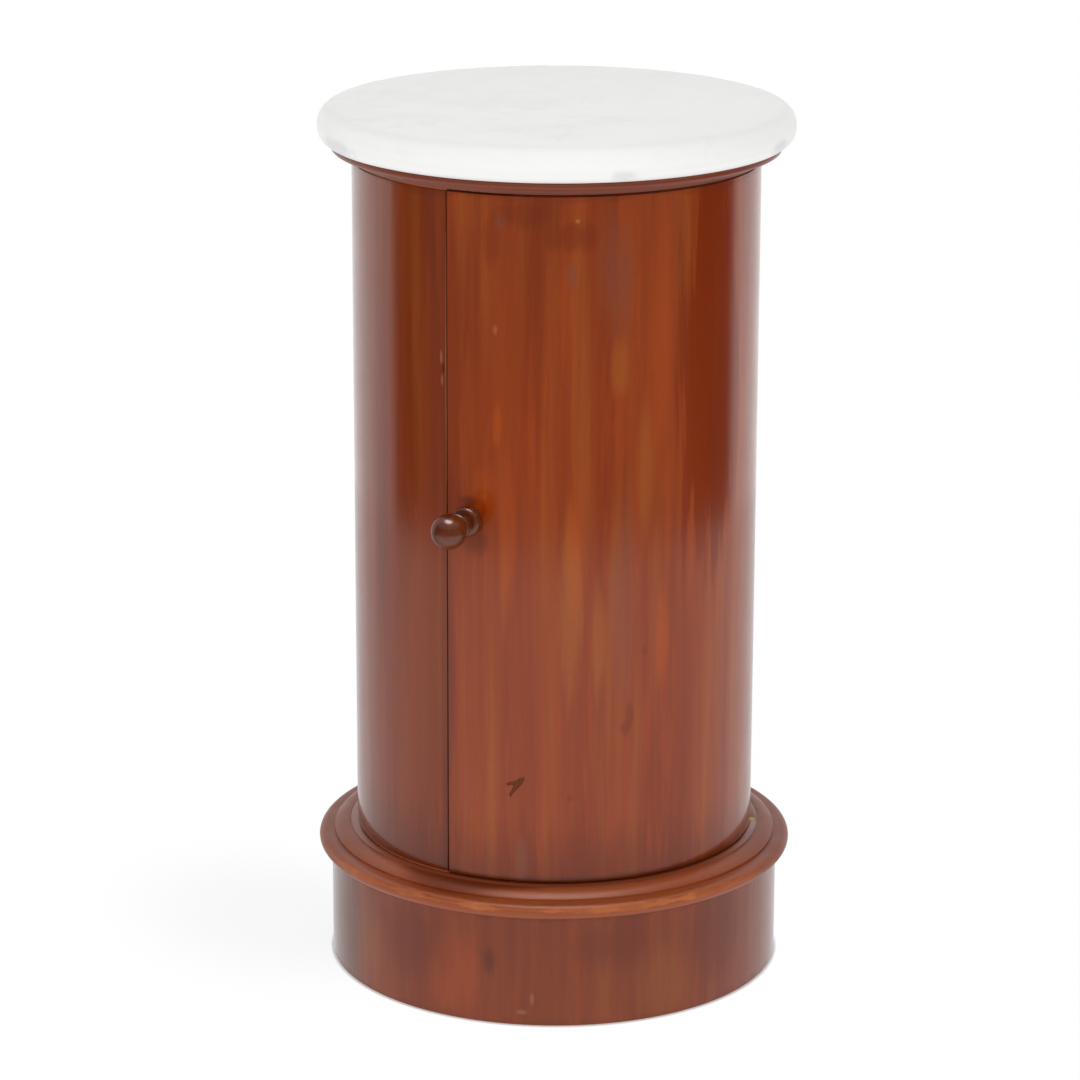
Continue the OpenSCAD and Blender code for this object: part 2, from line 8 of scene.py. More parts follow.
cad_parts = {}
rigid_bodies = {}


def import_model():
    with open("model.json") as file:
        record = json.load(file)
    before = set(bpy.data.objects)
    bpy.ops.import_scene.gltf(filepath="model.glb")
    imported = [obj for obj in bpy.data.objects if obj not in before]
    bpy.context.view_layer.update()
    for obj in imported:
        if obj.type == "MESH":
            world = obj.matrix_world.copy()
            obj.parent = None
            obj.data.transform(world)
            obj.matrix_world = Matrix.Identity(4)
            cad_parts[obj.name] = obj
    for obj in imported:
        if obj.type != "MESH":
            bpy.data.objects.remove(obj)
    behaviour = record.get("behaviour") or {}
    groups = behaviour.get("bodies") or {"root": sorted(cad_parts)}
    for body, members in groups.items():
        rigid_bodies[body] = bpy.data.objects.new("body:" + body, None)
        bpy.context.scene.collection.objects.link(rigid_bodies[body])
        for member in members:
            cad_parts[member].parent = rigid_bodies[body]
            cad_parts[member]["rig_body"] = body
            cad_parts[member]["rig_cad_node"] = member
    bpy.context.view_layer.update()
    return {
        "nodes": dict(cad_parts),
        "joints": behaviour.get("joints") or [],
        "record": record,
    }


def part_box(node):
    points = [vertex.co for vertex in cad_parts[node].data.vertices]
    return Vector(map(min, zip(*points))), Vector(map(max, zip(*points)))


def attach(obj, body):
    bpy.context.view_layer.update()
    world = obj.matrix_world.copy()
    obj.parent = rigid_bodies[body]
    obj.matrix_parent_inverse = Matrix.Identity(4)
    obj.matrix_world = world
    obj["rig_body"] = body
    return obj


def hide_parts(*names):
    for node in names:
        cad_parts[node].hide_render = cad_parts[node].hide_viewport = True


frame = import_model()


# ---------------------------------------------------------------------------
# Sizes, in metres and degrees. An azimuth is counted from the middle of the door to the right.

def heights_of(node):
    """The lowest and the highest level of a piece of the construction model."""
    return [corner.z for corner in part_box(node)]


def azimuth_of(place):
    return math.degrees(math.atan2(place.x, -place.y))


MM = 0.001
SAME_POINT = 0.01 * MM
SMOOTH_ANGLE = 35.0

CASE_RADIUS = 0.170
VENEER = 1.2 * MM
DOOR_HALF = 60.0
LATCH_GAP = 1.0 * MM
DOOR_LOW, DOOR_HIGH = heights_of("door_veneer")
BASE_TOP = heights_of("base_board")[1]
CASE_TOP = heights_of("top_board")[0]

PLINTH_RADIUS = 0.1922
PLINTH_LOW, PLINTH_HIGH = heights_of("plinth_veneer")

MOULDING_SEGMENTS = 6
MOULDING_INNER = 0.176
OVOLO_FOOT = MOULDING_INNER + 1.0 * MM
OVOLO_WIDTH = 13.0 * MM
OVOLO_RADIUS = 18.0 * MM
NOSE_RADIUS = 6.3 * MM
NOSE_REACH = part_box("moulding_segment_1")[1].x

MARBLE_RADIUS = 0.1982
MARBLE_LOW, MARBLE_HIGH = heights_of("marble_top")
MARBLE_UPPER_ROUND = 15.0 * MM
MARBLE_LOWER_ROUND = 12.0 * MM

# along the knob's axis, from the door's face
KNOB_PLAY = 0.5 * MM
COLLAR_REACH, COLLAR_ROUND = 12.6 * MM, 4.0 * MM
NECK_RADIUS = 5.6 * MM
BEAD_REACH, BEAD_ROUND = 12.0 * MM, 2.5 * MM
BALL_RADIUS, BALL_CENTRE = 14.5 * MM, 38.5 * MM
BORE_RADIUS, BORE_END = 3.0 * MM, 26.5 * MM

SCREW_HEAD, SCREW_SHANK = 3.0 * MM, 1.5 * MM
HINGE_SCREW, CATCH_SCREW = 10.0 * MM, 8.0 * MM
SCREW_ROW = 14.0 * MM
NEAR_SCREW, CASE_FAR_SCREW, DOOR_FAR_SCREW = 10.5 * MM, 20.5 * MM, 30.0 * MM
PLATE_THICKNESS = {"keeper_plate": 1.2 * MM, "latch_plate": 1.6 * MM}
DOOR_PLATE_TURN = 12.9

joint_places = {joint["name"]: Vector(joint["pos_m"]) for joint in frame["joints"]}
joint_axes = {joint["name"]: Vector(joint["axis"]) for joint in frame["joints"]}
PIVOT = joint_places["door_hinge"].xy
PIVOT_RADIUS = PIVOT.length
PIVOT_AZIMUTH = azimuth_of(PIVOT)
PIVOT_DEPTH = CASE_RADIUS - PIVOT_RADIUS
KNOB_AXIS = joint_axes["catch_turn"]
KNOB_AZIMUTH = azimuth_of(KNOB_AXIS)
KNOB_HEIGHT = joint_places["catch_turn"].z


# ---------------------------------------------------------------------------
# Bench tools: placing, selecting, turning, easing

def swing(degrees, axis="Z"):
    return Matrix.Rotation(math.radians(degrees), 4, axis)


def outwards(azimuth):
    """The direction out of the case at an azimuth."""
    return Vector((math.sin(math.radians(azimuth)), -math.cos(math.radians(azimuth)), 0.0))


def clear_bench():
    """Leaves edit mode with nothing selected."""
    if bpy.context.object and bpy.context.object.mode != "OBJECT":
        bpy.ops.object.mode_set(mode="OBJECT")
    bpy.ops.object.select_all(action="DESELECT")


def started(name, add, **sizes):
    """Adds a primitive on the clear bench, to be shaped into a piece."""
    clear_bench()
    add(**sizes)
    piece = bpy.context.object
    piece.name = name
    return piece


def take(piece):
    """Makes one piece the active one."""
    clear_bench()
    piece.select_set(True)
    bpy.context.view_layer.objects.active = piece


def edit(piece, kind="VERT", action="DESELECT"):
    """Opens a piece for editing, with nothing in it selected, or all of it."""
    take(piece)
    bpy.ops.object.mode_set(mode="EDIT")
    bpy.ops.mesh.select_mode(type=kind)
    bpy.ops.mesh.select_all(action=action)


def ease_edges(piece, ease, steps=2, where=None, sharpness=40.0):
    """Rounds the sharp edges of a piece, or those of them whose middle passes a test."""
    edit(piece, "EDGE")
    bpy.ops.mesh.edges_select_sharp(sharpness=math.radians(sharpness))
    if where:
        mesh = bmesh.from_edit_mesh(piece.data)
        for edge in mesh.edges:
            if edge.select and not where((edge.verts[0].co + edge.verts[1].co) / 2):
                edge.select_set(False)
        bmesh.update_edit_mesh(piece.data)
    bpy.ops.mesh.bevel(offset=ease, segments=steps, affect="EDGES", clamp_overlap=True)
    bpy.ops.object.mode_set(mode="OBJECT")


def close_and_smooth(piece):
    """Joins doubled points, turns the faces outwards and shades the rounds smooth."""
    edit(piece, action="SELECT")
    bpy.ops.mesh.remove_doubles(threshold=SAME_POINT)
    bpy.ops.mesh.normals_make_consistent(inside=False)
    bpy.ops.object.mode_set(mode="OBJECT")
    bpy.ops.object.shade_smooth_by_angle(angle=math.radians(SMOOTH_ANGLE))


def set_down(piece, place):
    """Moves a piece to its place and leaves that place in its mesh."""
    take(piece)
    piece.matrix_world = place
    bpy.ops.object.transform_apply(location=True, rotation=True, scale=True)


def throw_away(piece):
    take(piece)
    bpy.ops.object.delete()


def cut_out(piece, cutter):
    """Cuts one closed piece out of another and throws it away."""
    close_and_smooth(cutter)
    take(piece)
    cut = piece.modifiers.new("cut", "BOOLEAN")
    cut.operation = "DIFFERENCE"
    cut.solver = "EXACT"
    cut.object = cutter
    bpy.ops.object.modifier_apply(modifier=cut.name)
    throw_away(cutter)


def another(piece, name, place):
    """Copies a piece with a mesh of its own, moved by a matrix."""
    take(piece)
    bpy.ops.object.duplicate(linked=False)
    copy = bpy.context.object
    copy.name = name
    set_down(copy, place)
    return copy


def joined(name, pieces):
    take(pieces[0])
    for piece in pieces[1:]:
        piece.select_set(True)
    bpy.ops.object.join()
    pieces[0].name = name
    return pieces[0]


def arc(centre, radius, start, end, steps):
    """Points of a round stretch of an outline, between two angles."""
    turns = [math.radians(start + (end - start) * step / steps) for step in range(steps + 1)]
    return [(centre[0] + radius * math.cos(turn), centre[1] + radius * math.sin(turn)) for turn in turns]


def turned(name, outline, first=0.0, sweep=360.0, steps=192):
    """Turns an outline of (radius, height) points round the Z axis, as a closed piece."""
    points = [outwards(first) * radius + Vector((0.0, 0.0, height)) for radius, height in outline]
    if outline[0][0] > 0:
        points.append(points[0])
    piece = started(name, bpy.ops.mesh.primitive_plane_add, size=MM)
    edit(piece, action="SELECT")
    bpy.ops.mesh.merge(type="CENTER")
    bpy.ops.transform.translate(value=points[0])
    for here, there in zip(points, points[1:]):
        bpy.ops.mesh.extrude_vertices_move(TRANSFORM_OT_translate={"value": there - here})
    bpy.ops.mesh.select_all(action="SELECT")
    bpy.ops.mesh.remove_doubles(threshold=SAME_POINT)
    if sweep < 360:
        bpy.ops.mesh.edge_face_add()
    bpy.ops.mesh.spin(steps=steps, angle=-math.radians(sweep), center=(0, 0, 0), axis=(0, 0, 1))
    close_and_smooth(piece)
    return piece


# ---------------------------------------------------------------------------
# Camera, at the photograph's place

VIEW_AZIMUTH = -28.7
CAMERA_PLACE = (-1.6375, -2.9909, 1.3536)
CAMERA_ASIDE, CAMERA_DOWN, CAMERA_LEAN = 0.215, 16.163, 0.164

camera_data = bpy.data.cameras.new("camera")
camera_data.lens = 139.03
camera_data.sensor_width = 36.0
camera_data.clip_start = 0.1
camera = bpy.data.objects.new("camera", camera_data)
bpy.context.scene.collection.objects.link(camera)
camera.matrix_world = (Matrix.Translation(CAMERA_PLACE) @ swing(VIEW_AZIMUTH + CAMERA_ASIDE)
                       @ swing(90.0 - CAMERA_DOWN, "X") @ swing(CAMERA_LEAN))
bpy.context.scene.camera = camera


# ---------------------------------------------------------------------------
# Node helpers

class Value:
    """What a node puts out. Sums and products of it add the nodes that work them out."""

    def __init__(self, socket):
        self.socket = socket
        self.tree = socket.id_data

    def __add__(self, other):
        return worked("ADD", self, other)

    def __radd__(self, other):
        return worked("ADD", other, self)

    def __sub__(self, other):
        return worked("SUBTRACT", self, other)

    def __rsub__(self, other):
        return worked("SUBTRACT", other, self)

    def __mul__(self, other):
        return worked("MULTIPLY", self, other)

    def __truediv__(self, other):
        return worked("DIVIDE", self, other)

    def __rtruediv__(self, other):
        return worked("DIVIDE", other, self)

    def __abs__(self):
        return worked("ABSOLUTE", self)


def tree_of(values):
    """The tree that the first node value among some inputs lives in."""
    return next(value.tree for value in values if isinstance(value, Value))


def feed(node, inputs):
    """Gives a node its inputs. A node value is linked, any other is set."""
    for name, value in inputs.items():
        if isinstance(value, Value):
            value.tree.links.new(value.socket, node.inputs[name])
        else:
            node.inputs[name].default_value = value


def put(kind, inputs, output=0, tree=None, **settings):
    """Adds a node and returns one of its outputs."""
    node = (tree or tree_of(inputs.values())).nodes.new("ShaderNode" + kind)
    for name, value in settings.items():
        setattr(node, name, value)
    feed(node, inputs)
    return Value(node.outputs[output])


def worked(operation, *values):
    return put("Math", dict(enumerate(values)), operation=operation)


def largest(first, *others):
    for other in others:
        first = worked("MAXIMUM", first, other)
    return first


def between(value, low, high, start=0.0, end=1.0, kind="SMOOTHSTEP"):
    """Takes a value that lies between low and high to one between start and end."""
    inputs = {"Value": value, "From Min": low, "From Max": high, "To Min": start, "To Max": end}
    return put("MapRange", inputs, interpolation_type=kind)


def spread(mask, start, end):
    """Takes a mask from 0 to 1 evenly to a value from start to end."""
    return between(mask, 0.0, 1.0, start, end, "LINEAR")


def mixed(share, first, second, way="MIX"):
    """Mixes two colours by a share of the second."""
    return put("Mix", {0: share, 6: first, 7: second}, 2, data_type="RGBA", blend_type=way)


def together(x, y, z):
    return put("CombineXYZ", {0: x, 1: y, 2: z})


def parts_of(place):
    """The three coordinates of a place."""
    return [Value(socket) for socket in put("SeparateXYZ", {0: place}).socket.node.outputs]


def distance_of(x, y):
    return worked("SQRT", x * x + y * y)


def noise(place, scale=1.0, detail=2.0, roughness=0.5):
    return put("TexNoise", {"Vector": place, "Scale": scale, "Detail": detail, "Roughness": roughness}, "Fac")


def rgb(red, green, blue):
    """A colour from its three screen values, 0 to 255."""
    linear = [value / 255 / 12.92 if value <= 10 else ((value / 255 + 0.055) / 1.055) ** 2.4
              for value in (red, green, blue)]
    return (*linear, 1.0)


def new_group(name, inputs, outputs):
    """Starts a node group and returns what comes in and the node that its results go to.

    An input without a value is a place, and any other is a number.
    """
    tree = bpy.data.node_groups.new(name, "ShaderNodeTree")
    for label, value in inputs.items():
        kind = "NodeSocketVector" if value is None else "NodeSocketFloat"
        socket = tree.interface.new_socket(name=label, in_out="INPUT", socket_type=kind)
        if value is not None:
            socket.default_value = value
    for label in outputs:
        tree.interface.new_socket(name=label, in_out="OUTPUT", socket_type="NodeSocketFloat")
    entry = tree.nodes.new("NodeGroupInput")
    given = {socket.name: Value(socket) for socket in entry.outputs if socket.name}
    return given, tree.nodes.new("NodeGroupOutput")


def use(group, inputs):
    """Places a node group and returns its outputs by name."""
    node = tree_of(inputs.values()).nodes.new("ShaderNodeGroup")
    node.node_tree = group
    feed(node, inputs)
    return {socket.name: Value(socket) for socket in node.outputs}


# ---------------------------------------------------------------------------
# Shader groups that the finishes share

def make_round_place():
    """Where a point lies on the round case: azimuth, way round, height and radius."""
    given, out = new_group("Place on the case", {"Place": None, "Case radius": CASE_RADIUS},
                           ("Azimuth", "Around", "Height", "Radius"))
    x, y, z = parts_of(given["Place"])
    turn = worked("ARCTAN2", x, y * -1.0)
    feed(out, {"Azimuth": worked("DEGREES", turn), "Around": turn * given["Case radius"], "Height": z,
               "Radius": distance_of(x, y)})
    return out.id_data


def make_grain():
    """Grain along Along: broad bands, streaks, fine fibres and open pores, each from 0 to 1."""
    given, out = new_group(
        "Mahogany grain",
        {"Across": 0.0, "Along": 0.0, "Depth": 0.0, "Seed": 0.0, "Wander": 0.006, "Band width": 0.03,
         "Streak width": 0.004},
        ("Bands", "Streaks", "Fibres", "Pores"))
    across, along, seed = given["Across"], given["Along"], given["Seed"]
    drift = noise(together(across * 7.0, along * 2.6, seed), detail=3.0)
    line = across + (drift - 0.5) * given["Wander"]

    def layer(width, length, shift, detail, roughness, low, high):
        place = together(line / width, along / length, seed + worked("MULTIPLY_ADD", given["Depth"], 60.0, shift))
        return between(noise(place, 1.0, detail, roughness), low, high, kind="LINEAR")

    feed(out, {"Bands": layer(given["Band width"], 0.55, 3.1, 4.0, 0.55, 0.28, 0.72),
               "Streaks": layer(given["Streak width"], 0.16, 11.7, 5.0, 0.6, 0.28, 0.72),
               "Fibres": layer(0.7 * MM, 0.035, 23.9, 2.0, 0.5, 0.3, 0.7),
               "Pores": layer(0.45 * MM, 0.006, 37.3, 1.0, 0.5, 0.64, 0.74)})
    return out.id_data


def make_soft_mark():
    """A soft-edged patch at a place on a surface, ragged along the grain."""
    given, out = new_group(
        "Soft mark",
        {"Across": 0.0, "Along": 0.0, "Ragged by": 0.5, "Centre across": 0.0, "Centre along": 0.0,
         "Half width": 1.0, "Half length": 1.0, "Softness": 0.5, "Raggedness": 0.5},
        ("Mask",))
    aside = (given["Across"] - given["Centre across"]) / given["Half width"]
    ahead = (given["Along"] - given["Centre along"]) / given["Half length"]
    reach = worked("SQRT", worked("MULTIPLY_ADD", aside, aside, ahead * ahead))
    torn = (given["Ragged by"] - 0.5) * given["Raggedness"]
    soft = given["Softness"]
    feed(out, {"Mask": between(reach + torn, 1.0 - soft, 1.0 + soft, 1.0, 0.0)})
    return out.id_data


def make_edge_wear_and_shade():
    """A mask for wear, dirt, painted shade and painted highlight, strongest at an edge and fading away from it,
    patchy along it.
    """
    given, out = new_group("Edge wear and shade", {"Distance": 0.0, "Width": 1.0, "Place": None, "Patch size": 0.02},
                           ("Mask",))
    patches = noise(given["Place"], 1.0 / given["Patch size"], 4.0, 0.6)
    reach = given["Distance"] / (given["Width"] * between(patches, 0.35, 0.65, 0.25, 1.6))
    feed(out, {"Mask": between(reach, 0.35, 1.0, 1.0, 0.0)})
    return out.id_data


def make_scratches():
    """Hairline scratches in a few directions, each only a short way long."""
    given, out = new_group("Scratches", {"Place": None, "Spacing": 0.03, "Fineness": 0.004, "Share": 0.5},
                           ("Mask",))
    scale = 1.0 / given["Spacing"]
    limit = 0.75 - given["Share"] * 0.3
    strokes = []
    for turn, stretch, shift in ((12.0, 5.0, 1.3), (-34.0, 4.0, 7.9), (71.0, 3.0, 17.1)):
        turn = math.radians(turn)
        moved = put("Mapping", {"Vector": given["Place"], "Location": (shift, shift, shift),
                                "Rotation": (turn, turn, 0.0), "Scale": (1.0, 1.0, 1.0 / stretch)})
        line = between(abs(noise(moved, scale, 1.0) - 0.5), 0.0, given["Fineness"], 1.0, 0.0)
        strokes.append(line * between(noise(moved, scale * 2.3, 2.0), limit, limit + 0.05))
    feed(out, {"Mask": largest(*strokes)})
    return out.id_data


def make_mottle():
    """Cloudy unevenness at one scale, from 0 to 1, for dirt, tarnish and stains."""
    given, out = new_group("Mottle", {"Place": None, "Patch size": 0.02, "Contrast": 0.5}, ("Mask",))
    cloud = noise(given["Place"], 1.0 / given["Patch size"], 5.0, 0.62)
    half = (1.0 - given["Contrast"]) * 0.3 + 0.04
    feed(out, {"Mask": between(cloud, 0.5 - half, 0.5 + half)})
    return out.id_data


ROUND_PLACE = make_round_place()
GRAIN = make_grain()
SOFT_MARK = make_soft_mark()
EDGE_WEAR_AND_SHADE = make_edge_wear_and_shade()
SCRATCHES = make_scratches()
MOTTLE = make_mottle()


def grain_of(across, along, seed, wander=0.006, band=0.03, streak=0.004, depth=0.0):
    return use(GRAIN, {"Across": across, "Along": along, "Depth": depth, "Seed": seed,
                       "Wander": wander, "Band width": band, "Streak width": streak})


def soft_mark(across, along, centre, half, softness, ragged=0.5, raggedness=0.5):
    return use(SOFT_MARK, {"Across": across, "Along": along, "Ragged by": ragged,
                           "Centre across": centre[0], "Centre along": centre[1],
                           "Half width": half[0], "Half length": half[1],
                           "Softness": softness, "Raggedness": raggedness})["Mask"]


def edge_wear_and_shade(distance, width, place, patch):
    return use(EDGE_WEAR_AND_SHADE, {"Distance": distance, "Width": width, "Place": place, "Patch size": patch})["Mask"]


def scratches(place, spacing, fineness, share):
    return use(SCRATCHES, {"Place": place, "Spacing": spacing, "Fineness": fineness, "Share": share})["Mask"]


def mottle(place, patch, contrast=0.5):
    return use(MOTTLE, {"Place": place, "Patch size": patch, "Contrast": contrast})["Mask"]


# ---------------------------------------------------------------------------
# Finishes

def new_finish(name):
    """Starts a material and returns it with its shader and the object's own coordinates."""
    finish = bpy.data.materials.new(name)
    finish.use_nodes = True
    place = put("TexCoord", {}, "Object", tree=finish.node_tree)
    return finish, finish.node_tree.nodes["Principled BSDF"], place


def relief(height, depth):
    """A relief of that depth, in metres."""
    return put("Bump", {"Height": height, "Distance": depth})


DARK_WOOD = rgb(122, 42, 6)
MIDDLE_WOOD = rgb(148, 56, 8)
LIGHT_WOOD = rgb(166, 76, 24)
ORANGE_WOOD = rgb(178, 74, 10)
OCHRE_WOOD = rgb(168, 92, 30)
GREY_WOOD = rgb(136, 72, 48)
DEEP_WOOD = rgb(90, 28, 4)
RED_WOOD = rgb(136, 26, 2)
RUBBED_AND_HIGHLIT_WOOD = rgb(190, 106, 48)
BLACK_WOOD = rgb(36, 20, 12)
BARE_WOOD = rgb(206, 150, 104)


def veneer_finish(name, seed, marks, low, high, tint, chipped=False):
    """French-polished mahogany veneer with its grain upright.

    Dirt and painted shade darken the skin near its low and high edge. Each mark is (azimuth, height, half width,
    half height, softness, colour, share); some marks are painted shade.
    """
    finish, shader, place = new_finish(name)
    spot = use(ROUND_PLACE, {"Place": place})
    azimuth, around, height = spot["Azimuth"], spot["Around"], spot["Height"]
    grain = grain_of(around, height, seed)
    figure = grain_of(around, height, seed + 31.0, 0.016, 0.018, 0.009)
    tone = mixed(grain["Bands"], DARK_WOOD, LIGHT_WOOD)
    tone = mixed(0.45, tone, MIDDLE_WOOD)
    tone = mixed(between(figure["Streaks"], 0.5, 0.95, 0.0, 0.3), tone, ORANGE_WOOD)
    tone = mixed(between(figure["Bands"], 0.5, 0.95, 0.0, 0.35), tone, OCHRE_WOOD)
    tone = mixed(between(figure["Bands"], 0.45, 0.05, 0.0, 0.35), tone, DARK_WOOD)
    shade = spread(grain["Streaks"], 0.92, 1.02)
    tone = mixed(1.0, tone, put("CombineColor", {0: shade, 1: shade, 2: shade}), "MULTIPLY")
    for centre, level, half_width, half_height, softness, colour, share in marks:
        mark = soft_mark(azimuth, height, (centre, level), (half_width, half_height), softness,
                         figure["Streaks"], 0.9)
        tone = mixed(mark * share, tone, colour)
    tone = mixed(grain["Fibres"] * 0.07, tone, DEEP_WOOD)
    tone = mixed(grain["Pores"] * 0.22, tone, DEEP_WOOD)
    # dirt and painted shade along the skin's low and high edge
    dirt_and_shade = edge_wear_and_shade(worked("MINIMUM", height - low, high - height), 6 * MM, place, 0.03)
    tone = mixed(dirt_and_shade * 0.2, tone, DEEP_WOOD)
    scratch = scratches(place, 0.03, 0.0025, 0.15)
    tone = mixed(scratch * 0.16, tone, BARE_WOOD)
    tone = mixed(1.0, tone, tint, "MULTIPLY")
    coat = 0.9
    if chipped:
        # bare wood without its polish at the bottom of the chip, and not at the skin's ends
        sunk = between(spot["Radius"], CASE_RADIUS - 0.35 * MM, CASE_RADIUS - 0.1 * MM, 1.0, 0.0)
        inside = sunk * between(abs(azimuth), 50.0, 51.0, 1.0, 0.0)
        tone = mixed(inside, tone, mixed(grain["Streaks"], rgb(92, 46, 24), rgb(116, 66, 38)))
        coat = spread(inside, coat, 0.1)
    rough = spread(mottle(place, 0.05, 0.3), 0.3, 0.42) + largest(dirt_and_shade, scratch) * 0.2
    feed(shader, {"Base Color": tone, "Roughness": rough, "Coat Weight": coat, "Coat Roughness": 0.12,
                  "Specular IOR Level": 0.05,
                  "Normal": relief(grain["Pores"] * -1.0 + grain["Fibres"] * 0.35, 0.05 * MM)})
    return finish


DOOR_MARKS = [
    # painted shade darkens the foot, dirt and painted shade lie along it, and painted shade lies along the free
    # edge
    (-28.7, 0.118, 110.0, 0.040, 0.6, DEEP_WOOD, 0.35),
    (0.0, 0.1195, 90.0, 0.004, 0.5, BLACK_WOOD, 0.45),
    (-59.2, 0.28, 1.7, 0.19, 0.8, DEEP_WOOD, 0.55),
    (-57.5, 0.54, 3.2, 0.15, 0.6, DARK_WOOD, 0.7),
    # round the knob's foot: a red stain beside it, a painted reflection of the collar above it and its painted
    # shadow below
    (-48.6, 0.4385, 0.8, 0.0075, 0.6, RED_WOOD, 0.9),
    (-52.6, 0.443, 3.0, 0.004, 0.6, DEEP_WOOD, 0.6),
    (-50.6, 0.409, 3.6, 0.010, 0.6, DEEP_WOOD, 0.45),
    # broad tones of the figure
    (20.6, 0.536, 13.2, 0.165, 0.16, rgb(128, 40, 0), 0.75),
    (24.0, 0.470, 6.0, 0.10, 0.5, rgb(112, 34, 0), 0.25),
    (-51.8, 0.602, 2.2, 0.06, 0.6, DARK_WOOD, 0.4),
    (-34.3, 0.592, 2.7, 0.08, 0.6, DARK_WOOD, 0.35),
    (1.1, 0.573, 3.5, 0.105, 0.5, ORANGE_WOOD, 0.4),
    (-12.0, 0.634, 4.9, 0.047, 0.5, GREY_WOOD, 0.5),
    (-9.9, 0.365, 4.1, 0.072, 0.5, GREY_WOOD, 0.45),
    # lighter and more orange streaks
    (-44.8, 0.509, 1.2, 0.014, 0.5, ORANGE_WOOD, 0.5),
    (-41.8, 0.415, 2.1, 0.050, 0.5, ORANGE_WOOD, 0.4),
    (-23.2, 0.398, 2.2, 0.050, 0.5, ORANGE_WOOD, 0.5),
    (-48.0, 0.452, 3.4, 0.020, 0.6, ORANGE_WOOD, 0.35),
    (-46.3, 0.440, 1.5, 0.012, 0.6, MIDDLE_WOOD, 0.6),
    (-11.1, 0.554, 2.3, 0.025, 0.5, OCHRE_WOOD, 0.45),
    (-24.2, 0.357, 3.0, 0.07, 0.45, OCHRE_WOOD, 0.45),
    (-16.3, 0.327, 2.1, 0.041, 0.5, OCHRE_WOOD, 0.5),
    (-3.0, 0.473, 2.6, 0.054, 0.5, OCHRE_WOOD, 0.45),
    (2.3, 0.322, 2.1, 0.043, 0.5, ORANGE_WOOD, 0.55),
    # curls near the head, two pale spots and small marks
    (-25.0, 0.664, 6.7, 0.012, 0.4, DARK_WOOD, 0.5),
    (-46.7, 0.662, 2.8, 0.018, 0.5, DARK_WOOD, 0.4),
    (-44.0, 0.676, 1.4, 0.006, 0.5, GREY_WOOD, 0.5),
    (-36.5, 0.683, 9.0, 0.010, 0.6, DEEP_WOOD, 0.3),
    (-24.4, 0.632, 1.6, 0.010, 0.6, GREY_WOOD, 0.6),
    (-22.9, 0.677, 0.6, 0.0015, 0.6, BARE_WOOD, 0.35),
    (-45.3, 0.587, 0.5, 0.003, 0.7, BARE_WOOD, 0.2),
    (-24.3, 0.193, 0.8, 0.004, 0.5, DARK_WOOD, 0.6),
    (-7.3, 0.262, 0.9, 0.0085, 0.5, DARK_WOOD, 0.6),
    (-8.7, 0.251, 1.3, 0.0050, 0.5, DARK_WOOD, 0.6),
    (-2.9, 0.316, 0.9, 0.004, 0.5, DARK_WOOD, 0.5),
    (-38.0, 0.138, 1.6, 0.018, 0.5, GREY_WOOD, 0.6),
]
CASE_MARKS = [
    # painted shade at the foot and by the edge that the door meets, a painted pale line on that edge, a lighter
    # patch and nicks
    (-80.0, 0.118, 40.0, 0.045, 0.6, DEEP_WOOD, 0.35),
    (-60.6, 0.28, 1.2, 0.19, 0.7, DEEP_WOOD, 0.5),
    (-59.8, 0.56, 0.35, 0.15, 0.4, BARE_WOOD, 0.4),
    (-70.0, 0.30, 9.0, 0.12, 0.5, LIGHT_WOOD, 0.3),
    (-61.6, 0.560, 0.3, 0.005, 0.5, BARE_WOOD, 0.4),
    (-61.3, 0.541, 0.3, 0.004, 0.5, BARE_WOOD, 0.3),
    (-60.9, 0.551, 0.3, 0.004, 0.4, BLACK_WOOD, 0.7),
]
PLINTH_MARKS = [
    (-54.8, 0.040, 7.0, 0.035, 0.5, ORANGE_WOOD, 0.6),
    (-44.8, 0.055, 1.8, 0.013, 0.6, DEEP_WOOD, 0.6),
    (-34.0, 0.024, 0.5, 0.005, 0.6, BARE_WOOD, 0.25),
    (-36.7, 0.012, 1.2, 0.002, 0.6, BARE_WOOD, 0.25),
    (-66.0, 0.060, 9.0, 0.030, 0.6, DARK_WOOD, 0.6),
    (-15.0, 0.070, 8.0, 0.020, 0.6, DARK_WOOD, 0.5),
    (0.0, 0.030, 7.0, 0.030, 0.6, OCHRE_WOOD, 0.4),
    (16.0, 0.060, 9.0, 0.035, 0.6, DARK_WOOD, 0.6),
    (-84.0, 0.045, 6.0, 0.030, 0.6, OCHRE_WOOD, 0.3),
    # painted shade on the plinth's left side, away from the light
    (-106.0, 0.050, 18.0, 0.090, 0.5, BLACK_WOOD, 0.5),
]


def solid_mahogany_finish(name, seed, colour, polish, worn=None):
    """Solid mahogany with its grain running round the case, such as a moulding's."""
    finish, shader, place = new_finish(name)
    spot = use(ROUND_PLACE, {"Place": place})
    grain = grain_of(spot["Height"] + spot["Radius"], spot["Around"], seed, 0.003, 0.012, 0.002)
    tone = mixed(grain["Bands"] * 0.5, colour, DARK_WOOD)
    tone = mixed(grain["Streaks"] * 0.3, tone, LIGHT_WOOD)
    tone = mixed(grain["Pores"] * 0.4, tone, DEEP_WOOD)
    rough = spread(mottle(place, 0.03), 0.32, 0.45)
    if worn:
        tone, rough, bright = worn(place, spot, tone, rough)
        polish = bright * polish
    feed(shader, {"Base Color": tone, "Roughness": rough, "Coat Weight": polish, "Coat Roughness": 0.4,
                  "Specular IOR Level": 0.05, "Normal": relief(grain["Pores"] * -1.0, 0.04 * MM)})
    return finish


